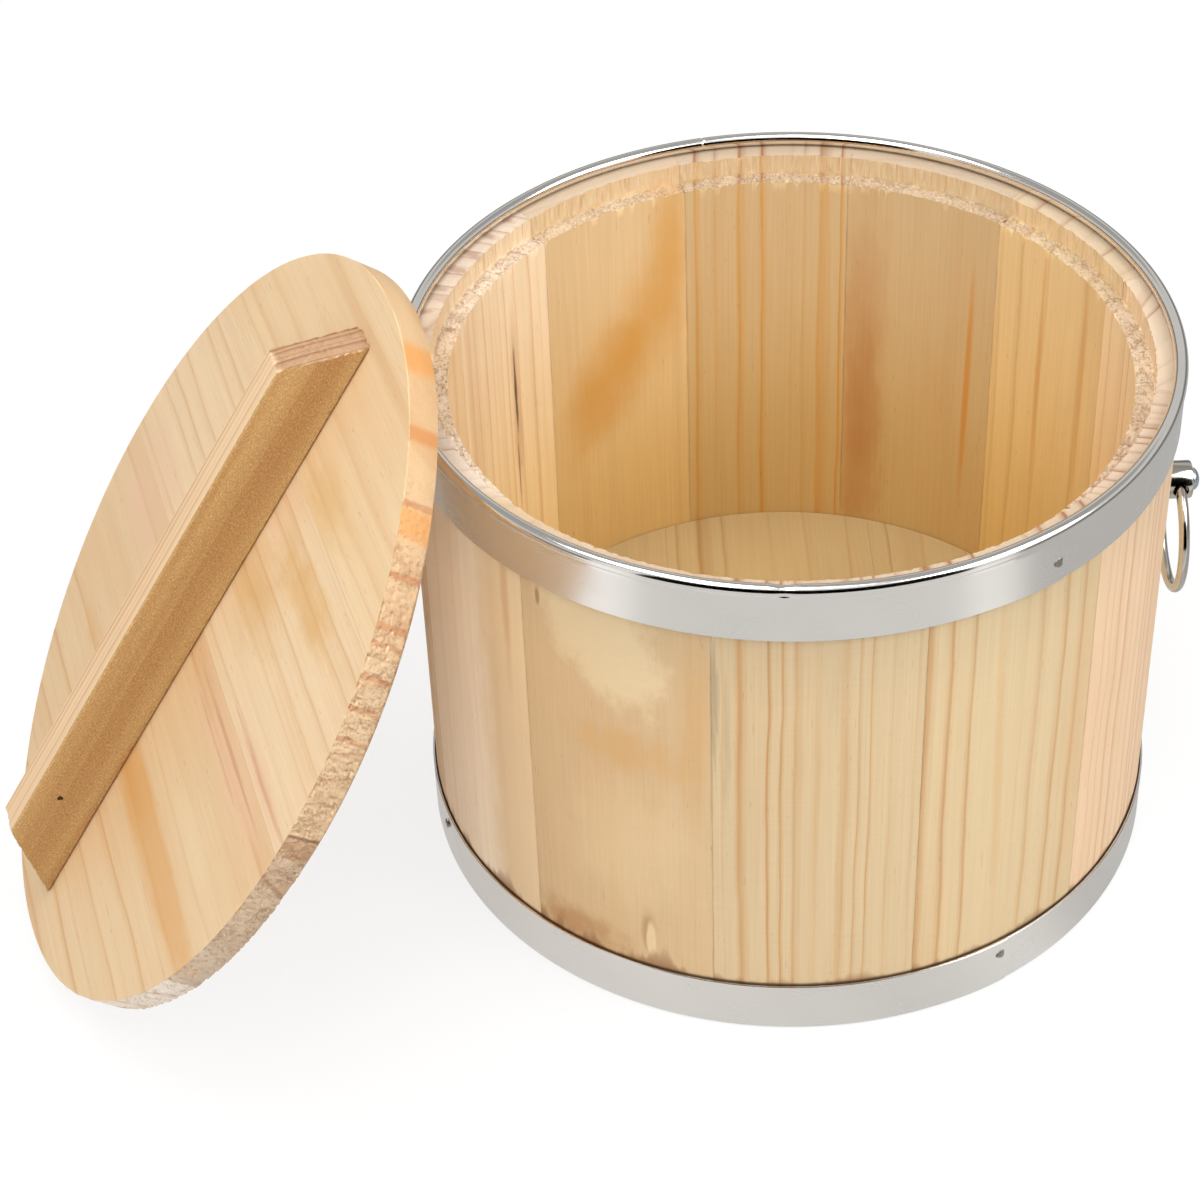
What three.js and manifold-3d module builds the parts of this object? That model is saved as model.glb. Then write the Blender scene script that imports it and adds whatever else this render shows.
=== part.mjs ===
// Sushi rice tub: a stave-built wooden tub with two steel hoops, two ring pulls and a loose
// round lid that leans against its left side. Millimetres, +Z up, lid towards -X.
// The origin lies on the standing surface, under the middle of the whole set.
import * as THREE from 'three';
import { mergeVertices } from 'three/addons/utils/BufferGeometryUtils.js';
import Module from 'manifold-3d';

const wasm = await Module();
wasm.setup();

// Fits and facets
const fitGap = 0.3; // left between two pieces that touch
const roundSteps = 72; // facets round the tub and the lid, a multiple of the stave count
const pinSteps = 10; // facets round a nail
const postSteps = 20; // facets round a post, a washer and a screw
const wireSteps = 8; // facets round the ring's wire
const ringSteps = 36; // stretches along one ring
const domeSteps = 4; // stretches up the side of a screw's domed head
const cutReach = 20; // how far a cutting solid runs past what it cuts
const tipTaper = 2; // length of a nail's or screw's tip, in shank radii

// Tub wall
const staveCount = 12;
const tubRadius = 111;
const wallThickness = 12.6;
const staveHeight = 163.3;
const rebateWidth = 5.4; // ledge turned inside the rim
const rebateDepth = 6.2;

// Floor of the tub
const floorBoardCount = 3;
const floorTurn = 90; // which way the floor's seams run, in degrees from +X
const floorThickness = 12;
const floorRecess = 14; // from the standing surface up to the floor's underside
const tongueLength = 4; // what the floor's edge reaches into the groove of the staves
const tongueThickness = 6;

// Hoops
const hoopThickness = 0.7;
const topHoopDepth = 13.3; // how far the top hoop's band reaches below the rim
const beadRadius = 2.4; // rolled edge of the top hoop
const beadInset = 1; // from the outside of the staves in to the middle of the bead
const beadSteps = 11; // stretches round the bead's section
const bottomHoopWidth = 17;
const bottomHoopLift = 0.5; // keeps the hoop's lower edge off the standing surface

// Nails that pin the hoops, by their bearing in degrees from +X
const topNailBearings = [305, 65, 185];
const bottomNailBearings = [300, 197, 68];
const bottomNailHeight = 12.3;
const nailRadius = 0.7;
const nailLength = 9;
const nailHeadRadius = 1.7;
const nailHeadHeight = 0.6;
const nailCrown = 0.6; // flat middle of the head, as a share of its radius

// Ring pulls, one on each side of the tub
const postHeight = 110.4; // middle of the post above the standing surface
const postRadius = 5.7;
const postLength = 7.6;
const postChamfer = 0.6;
const washerRadius = 7;
const washerThickness = 0.8;
const screwRadius = 1.7;
const screwReach = 10; // how deep the screw bites into its stave
const screwHeadRadius = 3.5;
const screwHeadHeight = 2.2;
const wireRadius = 1.6;
const ringRadius = 18.4; // middle of the wire
const ringEndGap = 0.6; // from the screw to each end of the open ring
const wirePlay = 0.3; // between the wire and the hole it turns in

// Lid
const lidBoardCount = 4;
const lidThickness = 9.1; // at its visible edge
const lidOverhang = 1.6; // past the outside of the bead
const spigotDepth = 4; // shallow step that drops inside the bead
const spigotPlay = 0.6; // between that step and the bead
const leanMargin = 20; // from the leaning lid's upper edge down to where the bead carries it
const leanBearing = 191.3; // where the leaning lid's face points in plan, in degrees from +X
const leanShift = -3.2; // sideways from the line through the tub's middle
const handleTurn = 6.4; // the handle's tilt on the leaning lid, in degrees

// Handle bar across the lid
const handleWidth = 13.2;
const handleHeight = 20.6;
const handleFoot = 202.4; // length where it meets the lid
const handleTop = 168.6; // length of its upper face
const handleNailPlace = 68; // from the middle of the bar out to each nail
const handleNailHeight = 13.1; // where the nail enters the bar's side
const handleNailSlant = 60; // how steeply it runs down into the lid, in degrees
const handleNailRadius = 0.8;
const handleNailBite = 8; // what it reaches into the lid

// Worked out from the sizes above
const wallInside = tubRadius - wallThickness;
const rebateRadius = wallInside + rebateWidth;
const floorTop = floorRecess + floorThickness;
const tongueLow = floorRecess + (floorThickness - tongueThickness) / 2;
const tongueHigh = tongueLow + tongueThickness;
const hoopInside = tubRadius + fitGap;
const hoopOutside = hoopInside + hoopThickness;
const beadMiddle = tubRadius - beadInset;
const beadHeight = staveHeight + fitGap + beadRadius;
const topHoopLow = staveHeight - topHoopDepth;
const topNailHeight = (topHoopLow + staveHeight) / 2;
const washerFoot = tubRadius + fitGap;
const postFoot = washerFoot + washerThickness + fitGap;
const postEnd = postFoot + postLength;
const ringPlace = (postFoot + postEnd) / 2;
const lidRadius = beadMiddle + beadRadius + lidOverhang;
const spigotRadius = beadMiddle - beadRadius - spigotPlay;

const degrees = THREE.MathUtils.degToRad;
const stavePitch = 360 / staveCount;

const pine = { color: 0xe6c08a, roughness: 0.7, metalness: 0 };
const palePine = { color: 0xeccb9c, roughness: 0.7, metalness: 0 };
const brownPine = { color: 0xbf9660, roughness: 0.8, metalness: 0 };
const steel = { color: 0xc9c6c0, roughness: 0.3, metalness: 1 };
const nickel = { color: 0xc4bfb6, roughness: 0.15, metalness: 1 };
const zinc = { color: 0xb9c4cc, roughness: 0.35, metalness: 1 };
const darkSteel = { color: 0x5a5550, roughness: 0.5, metalness: 1 };

// A closed geometry as a solid that can be cut, after an optional move
function solidOf(geometry, place) {
  const bare = geometry.clone();
  bare.deleteAttribute('normal');
  bare.deleteAttribute('uv');
  if (place) bare.applyMatrix4(place);
  const merged = mergeVertices(bare, 1e-4);
  const vertProperties = new Float32Array(merged.attributes.position.array);
  const triVerts = new Uint32Array(merged.index.array);
  return new wasm.Manifold(new wasm.Mesh({ numProp: 3, vertProperties, triVerts }));
}

function geometryOf(solid) {
  const { vertProperties, triVerts } = solid.getMesh();
  const geometry = new THREE.BufferGeometry();
  geometry.setAttribute('position', new THREE.BufferAttribute(vertProperties, 3));
  geometry.setIndex(new THREE.BufferAttribute(triVerts, 1));
  geometry.computeVertexNormals();
  return geometry;
}

function piece(name, geometry, look) {
  const mesh = new THREE.Mesh(geometry, new THREE.MeshStandardMaterial(look));
  mesh.name = name;
  return mesh;
}

// A profile of [radius, height] pairs, turned about +Z
function turned(profile, steps) {
  const points = profile.map(([radius, height]) => new THREE.Vector2(radius, height));
  return new THREE.LatheGeometry(points, steps).rotateX(Math.PI / 2);
}

function closed(profile) {
  return [...profile, profile[0]];
}

// The move that lays a piece turned about +Z along the bearing, its base at that radius and height
function outward(bearing, radius, height) {
  const spin = new THREE.Matrix4().makeRotationZ(degrees(bearing));
  const shift = new THREE.Matrix4().makeTranslation(radius, 0, height);
  const tip = new THREE.Matrix4().makeRotationY(Math.PI / 2);
  return spin.multiply(shift).multiply(tip);
}

function placed(mesh, place) {
  mesh.applyMatrix4(place);
  return mesh;
}

function rod(radius, low, high, steps) {
  return turned([[0, low], [radius, low], [radius, high], [0, high]], steps);
}

// Where each hoop nail sits
const nailSeats = [
  ...topNailBearings.map((bearing, i) => (
    { name: `top_hoop_nail_${i + 1}`, bearing, height: topNailHeight })),
  ...bottomNailBearings.map((bearing, i) => (
    { name: `bottom_hoop_nail_${i + 1}`, bearing, height: bottomNailHeight })),
];

const pullSides = [
  { side: 'right', bearing: 0 },
  { side: 'left', bearing: 180 },
];

// Clearance holes for the nails and the post screws, cut from the hoops and the staves
function fastenerHoles() {
  const nailHole = rod(nailRadius + fitGap, -nailLength - fitGap, cutReach, pinSteps);
  const screwHole = rod(screwRadius + fitGap, -screwReach - fitGap, cutReach, postSteps);
  const nails = nailSeats.map((seat) => solidOf(nailHole, outward(seat.bearing, hoopOutside, seat.height)));
  const screws = pullSides.map(({ bearing }) => solidOf(screwHole, outward(bearing, tubRadius, postHeight)));
  return [...nails, ...screws];
}

const holes = fastenerHoles();

function withHoles(solid) {
  return holes.reduce((rest, hole) => rest.subtract(hole), solid);
}

// One wedge of the tub, seen from above, that leaves half a gap on each side
function staveWedge(bearing) {
  const half = degrees(stavePitch / 2);
  const apex = fitGap / 2 / Math.sin(half);
  const reach = tubRadius * 2;
  const outline = new THREE.Shape();
  outline.moveTo(apex, 0);
  outline.lineTo(apex + reach * Math.cos(half), -reach * Math.sin(half));
  outline.lineTo(apex + reach * Math.cos(half), reach * Math.sin(half));
  outline.closePath();
  const depth = staveHeight + 2 * cutReach;
  const wedge = new THREE.ExtrudeGeometry(outline, { depth, bevelEnabled: false });
  const spin = new THREE.Matrix4().makeRotationZ(degrees(bearing));
  return solidOf(wedge.translate(0, 0, -cutReach), spin);
}

// The turned wall, with its ledge inside the rim and its groove for the floor, split into staves
function staves() {
  const grooveRadius = wallInside + tongueLength + fitGap;
  const wall = solidOf(turned(closed([
    [wallInside, 0],
    [tubRadius, 0],
    [tubRadius, staveHeight],
    [rebateRadius, staveHeight],
    [rebateRadius, staveHeight - rebateDepth],
    [wallInside, staveHeight - rebateDepth],
    [wallInside, tongueHigh + fitGap],
    [grooveRadius, tongueHigh + fitGap],
    [grooveRadius, tongueLow - fitGap],
    [wallInside, tongueLow - fitGap],
  ]), roundSteps));
  return Array.from({ length: staveCount }, (_, i) => {
    const stave = withHoles(wall.intersect(staveWedge(i * stavePitch)));
    return piece(`stave_${String(i + 1).padStart(2, '0')}`, geometryOf(stave), pine);
  });
}

// Boards that together fill a round solid, split by seams along X
function boards(prefix, solid, radius, count, look) {
  const width = (2 * radius) / count;
  return Array.from({ length: count }, (_, i) => {
    const strip = new THREE.BoxGeometry(2 * radius + cutReach, width - fitGap, 2 * tubRadius);
    strip.translate(0, (i - (count - 1) / 2) * width, 0);
    return piece(`${prefix}_${i + 1}`, geometryOf(solid.intersect(solidOf(strip))), look);
  });
}

// The floor: a round board with a thinner edge that sits in the groove
function floorBoards() {
  const body = wallInside - fitGap;
  const edge = wallInside + tongueLength;
  const disc = solidOf(turned([
    [0, floorRecess],
    [body, floorRecess],
    [body, tongueLow],
    [edge, tongueLow],
    [edge, tongueHigh],
    [body, tongueHigh],
    [body, floorTop],
    [0, floorTop],
  ], roundSteps));
  const turn = new THREE.Matrix4().makeRotationZ(degrees(floorTurn));
  const strips = boards('floor_board', disc, edge, floorBoardCount, palePine);
  return strips.map((strip) => placed(strip, turn));
}

// The top hoop: a flat band whose upper edge is rolled in over the stave ends
function topHoop() {
  const bandSide = (radius) => Math.asin((radius - beadMiddle) / beadRadius);
  const start = bandSide(hoopOutside) - Math.PI / 2;
  const sweep = 2 * Math.PI - (bandSide(hoopOutside) - bandSide(hoopInside));
  const roll = Array.from({ length: beadSteps + 1 }, (_, i) => {
    const angle = start + (sweep * i) / beadSteps;
    return [beadMiddle + beadRadius * Math.cos(angle), beadHeight + beadRadius * Math.sin(angle)];
  });
  const section = [[hoopInside, topHoopLow], [hoopOutside, topHoopLow], ...roll];
  const hoop = withHoles(solidOf(turned(closed(section), roundSteps)));
  return piece('top_hoop', geometryOf(hoop), steel);
}

function bottomHoop() {
  const high = bottomHoopLift + bottomHoopWidth;
  const hoop = withHoles(solidOf(turned(closed([
    [hoopInside, bottomHoopLift],
    [hoopOutside, bottomHoopLift],
    [hoopOutside, high],
    [hoopInside, high],
  ]), roundSteps)));
  return piece('bottom_hoop', geometryOf(hoop), steel);
}

// A nail with a low domed head, its underside at height 0
function nailGeometry() {
  const tipLength = nailRadius * tipTaper;
  return turned([
    [0, -nailLength],
    [nailRadius, tipLength - nailLength],
    [nailRadius, 0],
    [nailHeadRadius, 0],
    [nailHeadRadius, nailHeadHeight / 2],
    [nailHeadRadius * nailCrown, nailHeadHeight],
    [0, nailHeadHeight],
  ], pinSteps);
}

function hoopNails() {
  return nailSeats.map(({ name, bearing, height }) => {
    const nail = piece(name, nailGeometry(), darkSteel);
    return placed(nail, outward(bearing, hoopOutside + fitGap, height));
  });
}

// How far the wire's curve strays above and below the axis it turns about, inside the post
const wireStray = (ringRadius - Math.sqrt(ringRadius ** 2 - postRadius ** 2)) / 2;

// The post: a short turned stud with a cross hole for the ring and a bore for the screw
function postGeometry() {
  const stud = solidOf(turned([
    [0, 0],
    [postRadius, 0],
    [postRadius, postLength - postChamfer],
    [postRadius - postChamfer, postLength],
    [0, postLength],
  ], postSteps));
  const bore = solidOf(rod(screwRadius + fitGap, -cutReach, cutReach, postSteps));
  const crossRadius = wireRadius + wireStray + wirePlay;
  const along = new THREE.Matrix4().makeRotationX(Math.PI / 2).setPosition(0, 0, postLength / 2);
  const cross = solidOf(rod(crossRadius, -cutReach, cutReach, postSteps), along);
  return geometryOf(stud.subtract(bore).subtract(cross));
}

function washerGeometry() {
  const bore = screwRadius + fitGap;
  return turned(closed([
    [bore, 0],
    [washerRadius, 0],
    [washerRadius, washerThickness],
    [bore, washerThickness],
  ]), postSteps);
}

// The screw through the post, with a domed head whose underside is at height 0
function screwGeometry() {
  const length = postEnd + fitGap - (tubRadius - screwReach);
  const tipLength = screwRadius * tipTaper;
  const dome = Array.from({ length: domeSteps + 1 }, (_, i) => {
    const angle = (Math.PI / 2) * (i / domeSteps);
    const radius = i === domeSteps ? 0 : screwHeadRadius * Math.cos(angle);
    return [radius, screwHeadHeight * Math.sin(angle)];
  });
  return turned([
    [0, -length],
    [screwRadius, tipLength - length],
    [screwRadius, 0],
    ...dome,
  ], postSteps);
}

// The open ring's path in the tangential plane, from one end round to the other
class RingPath extends THREE.Curve {
  getPoint(t) {
    const openHalf = Math.asin((screwRadius + ringEndGap) / ringRadius);
    const angle = openHalf + t * 2 * (Math.PI - openHalf);
    return new THREE.Vector3(0, ringRadius * Math.sin(angle), ringRadius * Math.cos(angle));
  }
}

function ringGeometry() {
  const wire = new THREE.Shape();
  wire.absarc(0, 0, wireRadius, 0, 2 * Math.PI);
  const curveSegments = wireSteps / 2;
  return new THREE.ExtrudeGeometry(wire, { steps: ringSteps, extrudePath: new RingPath(), curveSegments });
}

// Washer, post, screw and ring of one side. The ring hangs from the post's cross hole
function ringPull({ side, bearing }) {
  const pull = new THREE.Group();
  pull.rotation.z = degrees(bearing);
  const washer = piece(`${side}_washer`, washerGeometry(), nickel);
  placed(washer, outward(0, washerFoot, postHeight));
  const post = piece(`${side}_post`, postGeometry(), nickel);
  placed(post, outward(0, postFoot, postHeight));
  const screw = piece(`${side}_screw`, screwGeometry(), zinc);
  placed(screw, outward(0, postEnd + fitGap, postHeight));
  const ring = piece(`${side}_ring`, ringGeometry(), nickel);
  ring.position.set(ringPlace, 0, postHeight + wireStray - ringRadius);
  pull.add(washer, post, screw, ring);
  return pull;
}

// The nail through the handle's side, running down and inwards, in the lid's own frame
function handleNailPlaceOn(sign) {
  const slant = degrees(handleNailSlant);
  const entry = new THREE.Vector3(
    (sign * handleWidth) / 2,
    -sign * handleNailPlace,
    lidThickness + fitGap + handleNailHeight,
  );
  const outwards = new THREE.Vector3(sign * Math.cos(slant), 0, Math.sin(slant));
  const turn = new THREE.Quaternion().setFromUnitVectors(new THREE.Vector3(0, 0, 1), outwards);
  return new THREE.Matrix4().compose(entry, turn, new THREE.Vector3(1, 1, 1));
}

const handleNailLength = handleNailHeight / Math.sin(degrees(handleNailSlant)) + handleNailBite;
const handleNailSides = [1, -1];

function withHandleNailHoles(solid) {
  const hole = rod(handleNailRadius + fitGap, -handleNailLength - fitGap, cutReach, pinSteps);
  return handleNailSides.reduce((rest, sign) => rest.subtract(solidOf(hole, handleNailPlaceOn(sign))), solid);
}

// The lid's boards: a disc whose lower face steps in to drop inside the bead
function lidBoards() {
  const disc = withHandleNailHoles(solidOf(turned([
    [0, -spigotDepth],
    [spigotRadius, -spigotDepth],
    [spigotRadius, 0],
    [lidRadius, 0],
    [lidRadius, lidThickness],
    [0, lidThickness],
  ], roundSteps)));
  return boards('lid_board', disc, lidRadius, lidBoardCount, palePine);
}

// The handle: a bar across the boards, its ends sloping in from the lid up to the upper face
function lidHandle() {
  const outline = new THREE.Shape();
  outline.moveTo(-handleFoot / 2, 0);
  outline.lineTo(handleFoot / 2, 0);
  outline.lineTo(handleTop / 2, handleHeight);
  outline.lineTo(-handleTop / 2, handleHeight);
  outline.closePath();
  const bar = new THREE.ExtrudeGeometry(outline, { depth: handleWidth, bevelEnabled: false });
  bar.translate(0, 0, -handleWidth / 2).rotateX(Math.PI / 2).rotateZ(Math.PI / 2);
  bar.translate(0, 0, lidThickness + fitGap);
  return piece('lid_handle', geometryOf(withHandleNailHoles(solidOf(bar))), brownPine);
}

function handleNails() {
  return handleNailSides.map((sign, i) => {
    const nail = rod(handleNailRadius, -handleNailLength, 0, pinSteps);
    return placed(piece(`handle_nail_${i + 1}`, nail, darkSteel), handleNailPlaceOn(sign));
  });
}

// The lid leans: its lower edge stands on the surface, its underside rests on the bead
function leaningLid() {
  const reach = 2 * lidRadius - leanMargin;
  const standoff = beadRadius + fitGap + spigotDepth;
  const slope = Math.asin(beadHeight / Math.hypot(reach, standoff)) + Math.atan2(standoff, reach);
  const foot = beadMiddle + standoff * Math.sin(slope) + reach * Math.cos(slope);
  const distance = foot - lidRadius * Math.cos(slope);
  const disc = new THREE.Group();
  disc.rotation.z = degrees(handleTurn);
  disc.add(...lidBoards(), lidHandle(), ...handleNails());
  const sloped = new THREE.Group();
  sloped.rotation.x = slope;
  sloped.position.set(leanShift, -distance, lidRadius * Math.sin(slope));
  sloped.add(disc);
  const lid = new THREE.Group();
  lid.rotation.z = degrees(leanBearing + 90);
  lid.add(sloped);
  return lid;
}

const set = new THREE.Group();
set.name = 'rice_tub';
set.add(...staves(), ...floorBoards(), topHoop(), bottomHoop(), ...hoopNails());
set.add(...pullSides.map(ringPull), leaningLid());

// Stand the set on z = 0 with the origin under the middle of its box
set.updateMatrixWorld(true);
const box = new THREE.Box3().setFromObject(set, true);
const middle = box.getCenter(new THREE.Vector3());
set.position.set(-middle.x, -middle.y, -box.min.z);
set.updateMatrixWorld(true);

export default set;
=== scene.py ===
import bmesh
import bpy
import numpy as np
from mathutils import Matrix, Vector


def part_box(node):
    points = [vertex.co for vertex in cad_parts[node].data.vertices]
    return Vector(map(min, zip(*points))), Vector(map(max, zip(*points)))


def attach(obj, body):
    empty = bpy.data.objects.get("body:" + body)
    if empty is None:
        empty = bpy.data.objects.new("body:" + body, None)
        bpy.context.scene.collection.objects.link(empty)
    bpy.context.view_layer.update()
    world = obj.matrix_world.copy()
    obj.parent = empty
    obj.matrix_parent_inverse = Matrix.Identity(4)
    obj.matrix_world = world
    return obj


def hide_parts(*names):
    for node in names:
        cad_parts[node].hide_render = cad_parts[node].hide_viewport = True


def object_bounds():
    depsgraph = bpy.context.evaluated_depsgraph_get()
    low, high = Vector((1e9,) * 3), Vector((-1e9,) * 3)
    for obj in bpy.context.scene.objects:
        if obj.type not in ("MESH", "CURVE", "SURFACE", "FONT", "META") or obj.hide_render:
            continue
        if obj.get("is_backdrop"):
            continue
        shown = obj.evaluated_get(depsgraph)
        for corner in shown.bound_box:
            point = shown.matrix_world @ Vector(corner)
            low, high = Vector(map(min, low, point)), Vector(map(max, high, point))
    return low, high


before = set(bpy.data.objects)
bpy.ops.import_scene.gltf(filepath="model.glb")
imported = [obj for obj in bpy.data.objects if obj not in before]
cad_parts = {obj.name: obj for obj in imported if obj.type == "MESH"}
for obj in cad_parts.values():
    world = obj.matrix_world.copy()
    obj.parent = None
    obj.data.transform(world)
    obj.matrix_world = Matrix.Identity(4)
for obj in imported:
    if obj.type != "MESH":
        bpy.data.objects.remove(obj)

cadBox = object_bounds()
mm = 0.001
hoopLow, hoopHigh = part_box("bottom_hoop")
# the tub's middle on the floor, in mm
tubAxis = np.array([hoopLow.x + hoopHigh.x, hoopLow.y + hoopHigh.y, 0.0]) / 2 / mm
lattice = (97, 89)  # size of the noise table: two primes, so that it repeats far apart
print("frame loaded, tub axis at", tubAxis.round(2))


def paint(red, green, blue):
    # a colour given as 0-255 screen values, turned into the linear values that shaders take
    share = np.array([red, green, blue]) / 255
    linear = np.where(share <= 0.04045, share / 12.92, ((share + 0.055) / 1.055) ** 2.4)
    return (*linear.tolist(), 1.0)


def softNoise(x, y, seed):
    # smooth random heights from 0 to 1: seeded lattice values with an S-curve between them
    table = np.random.default_rng(seed).random(lattice)
    column, row = np.floor(x).astype(int), np.floor(y).astype(int)
    across, along = (share ** 2 * (3 - 2 * share) for share in (x - column, y - row))
    corner = lambda right, up: table[(column + right) % lattice[0], (row + up) % lattice[1]]
    near = corner(0, 0) * (1 - across) + corner(1, 0) * across
    far = corner(0, 1) * (1 - across) + corner(1, 1) * across
    return near * (1 - along) + far * along


def crumble(x, y, size, seed):
    # torn wood from -0.5 to 0.5: coarse bumps of the given size with finer ones on them
    coarse = softNoise(x / size, y / size, seed)
    fine = softNoise(x * 2.3 / size, y * 2.3 / size, seed + 1)
    return 0.65 * coarse + 0.35 * fine - 0.5


def easeStep(value, low, high):
    # 0 below low, 1 above high, an S-curve between
    share = np.clip((value - low) / (high - low), 0, 1)
    return share * share * (3 - 2 * share)


def divided(corners, steps):
    # a polyline with each stretch from one corner to the next cut into its number of equal steps
    corners = np.asarray(corners, float)
    pieces = [
        corners[i] + (corners[i + 1] - corners[i]) * np.linspace(0, 1, count, endpoint=False)[:, None]
        for i, count in enumerate(steps)
    ]
    return np.vstack([*pieces, corners[-1:]])


def gridMesh(name, grids, caps=(), uvs=None, smoothAngle=38):
    # one mesh from grids of points (rows x columns x 3, in mm): quads between neighbours, doubles merged
    points = np.vstack([grid.reshape(-1, 3) for grid in grids])
    faces, start, corners = [], 0, []
    for grid in grids:
        rows, columns = grid.shape[:2]
        index = np.arange(rows * columns).reshape(rows, columns) + start
        corners.append(index)
        quads = np.stack([index[:-1, :-1], index[1:, :-1], index[1:, 1:], index[:-1, 1:]], -1)
        faces.extend(quads.reshape(-1, 4).tolist())
        start += rows * columns
    for which, column in caps:
        loop = corners[which][:, column]
        faces.append(loop[:-1].tolist())
    mesh = bpy.data.meshes.new(name)
    mesh.from_pydata((points * mm).tolist(), [], faces)
    if uvs is not None:
        flat = np.vstack([uv.reshape(-1, 2) for uv in uvs])
        loops = np.empty(len(mesh.loops), np.int32)
        mesh.loops.foreach_get("vertex_index", loops)
        mesh.uv_layers.new(name="run").data.foreach_set("uv", flat[loops].ravel())
    shell = bmesh.new()
    shell.from_mesh(mesh)
    bmesh.ops.remove_doubles(shell, verts=shell.verts, dist=2e-6)
    bmesh.ops.dissolve_degenerate(shell, edges=shell.edges, dist=1e-7)
    bmesh.ops.recalc_face_normals(shell, faces=shell.faces)
    shell.to_mesh(mesh)
    shell.free()
    mesh.shade_smooth()
    mesh.set_sharp_from_angle(angle=np.radians(smoothAngle))
    piece = bpy.data.objects.new(name, mesh)
    bpy.context.scene.collection.objects.link(piece)
    return piece


def turned(profile, bearings, middle=(0, 0, 0)):
    # (radius, height) pairs carried round the upright axis through middle, a column for each bearing
    angle = np.radians(bearings)[None, :]
    radius, height = profile[:, :1], profile[:, 1:2]
    x, y = radius * np.cos(angle), radius * np.sin(angle)
    return np.stack([x, y, height + 0 * angle], -1) + np.asarray(middle)


def moved(points, place):
    # points times a 4 x 4 matrix
    place = np.array(place)
    return points @ place[:3, :3].T + place[:3, 3]


def shifted(spot):
    # a plain move
    return Matrix.Translation(Vector(spot))


def spun(degrees, axis="Z"):
    # a turn about one axis
    return Matrix.Rotation(np.radians(degrees), 4, axis)


def dress(piece, node, body, material):
    piece.data.materials.append(material)
    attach(piece, body)
    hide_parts(node)


# camera at the photograph's viewing angle, in mm and degrees from the tub's axis
shot = dict(lens=89.92, pitch=40.18, roll=2.38, distance=912.15, right=56.92, up=7.9, aimHeight=80)


def addCamera():
    pitch, roll = np.radians(shot["pitch"]), np.radians(shot["roll"])
    forward = np.array([0, np.cos(pitch), -np.sin(pitch)])
    level, steep = np.array([1.0, 0, 0]), np.array([0, np.sin(pitch), np.cos(pitch)])
    right = np.cos(roll) * level - np.sin(roll) * steep
    up = np.sin(roll) * level + np.cos(roll) * steep
    aim = tubAxis + np.array([0, 0, shot["aimHeight"]])
    spot = aim - shot["right"] * right - shot["up"] * up - shot["distance"] * forward
    lens = bpy.data.cameras.new("camera")
    lens.lens, lens.sensor_width, lens.clip_start = shot["lens"], 36, 0.01
    camera = bpy.data.objects.new("camera", lens)
    turn = Matrix(np.column_stack([right, up, -forward]).tolist()).to_4x4()
    camera.matrix_world = shifted(spot * mm) @ turn
    bpy.context.scene.collection.objects.link(camera)
    bpy.context.scene.camera = camera


addCamera()
print("camera set")


# short words for shader nodes: put makes one and feeds its sockets, the rest hand back an output
class Bench:
    def __init__(self, tree):
        self.tree = tree

    def put(self, kind, feeds=(), **settings):
        node = self.tree.nodes.new(kind)
        for key, value in settings.items():
            setattr(node, key, value)
        for key, value in dict(feeds).items():
            if isinstance(value, bpy.types.NodeSocket):
                self.tree.links.new(value, node.inputs[key])
            else:
                node.inputs[key].default_value = value
        return node

    def math(self, operation, *values, clamp=False):
        return self.put("ShaderNodeMath", enumerate(values), operation=operation, use_clamp=clamp).outputs[0]

    def times(self, *values):
        result = values[0]
        for value in values[1:]:
            result = self.math("MULTIPLY", result, value)
        return result

    def scaled(self, value, factor, offset):
        return self.math("MULTIPLY_ADD", value, factor, offset)

    def less(self, value):
        return self.math("SUBTRACT", 1.0, value)

    def vector(self, operation, *values, out="Vector"):
        keys = ("Vector", "Scale") if operation == "SCALE" else range(len(values))
        return self.put("ShaderNodeVectorMath", zip(keys, values), operation=operation).outputs[out]

    def noise(self, vector, stretch=(1, 1, 1), detail=2.0, roughness=0.5, out="Fac"):
        place = self.vector("MULTIPLY", vector, stretch)
        feeds = dict(Vector=place, Scale=1.0, Detail=detail, Roughness=roughness)
        return self.put("ShaderNodeTexNoise", feeds).outputs[out]

    def step(self, value, low, high):
        feeds = enumerate((value, low, high))
        return self.put("ShaderNodeMapRange", feeds, interpolation_type="SMOOTHSTEP").outputs[0]

    def blend(self, share, first, second, mode="MIX"):
        feeds = {0: share, 6: first, 7: second}  # the node's colour sockets
        return self.put("ShaderNodeMix", feeds, data_type="RGBA", blend_type=mode).outputs[2]

    def over(self, color, coat, *masks):
        return self.blend(self.times(*masks), color, coat)

    def tint(self, color, coat, *masks):
        return self.blend(self.times(*masks), color, coat, "MULTIPLY")

    def ramp(self, value, stops):
        node = self.put("ShaderNodeValToRGB", {0: value})
        node.color_ramp.interpolation = "EASE"
        for _ in range(len(stops) - 2):
            node.color_ramp.elements.new(0.5)
        for element, (place, shade) in zip(node.color_ramp.elements, stops):
            element.position = place
            element.color = (shade, shade, shade, 1)
        return node.outputs[0]

    def split(self, vector):
        return self.put("ShaderNodeSeparateXYZ", {0: vector}).outputs

    def join(self, x, y, z):
        return self.put("ShaderNodeCombineXYZ", enumerate((x, y, z))).outputs[0]

    def group(self, tree, **values):
        return self.put("ShaderNodeGroup", values, node_tree=tree).outputs

    def glow(self, strength):
        return self.put("ShaderNodeEmission", {"Strength": strength})

    def surface(self, shader):
        self.put("ShaderNodeOutputMaterial", {"Surface": shader.outputs[0]})


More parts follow.
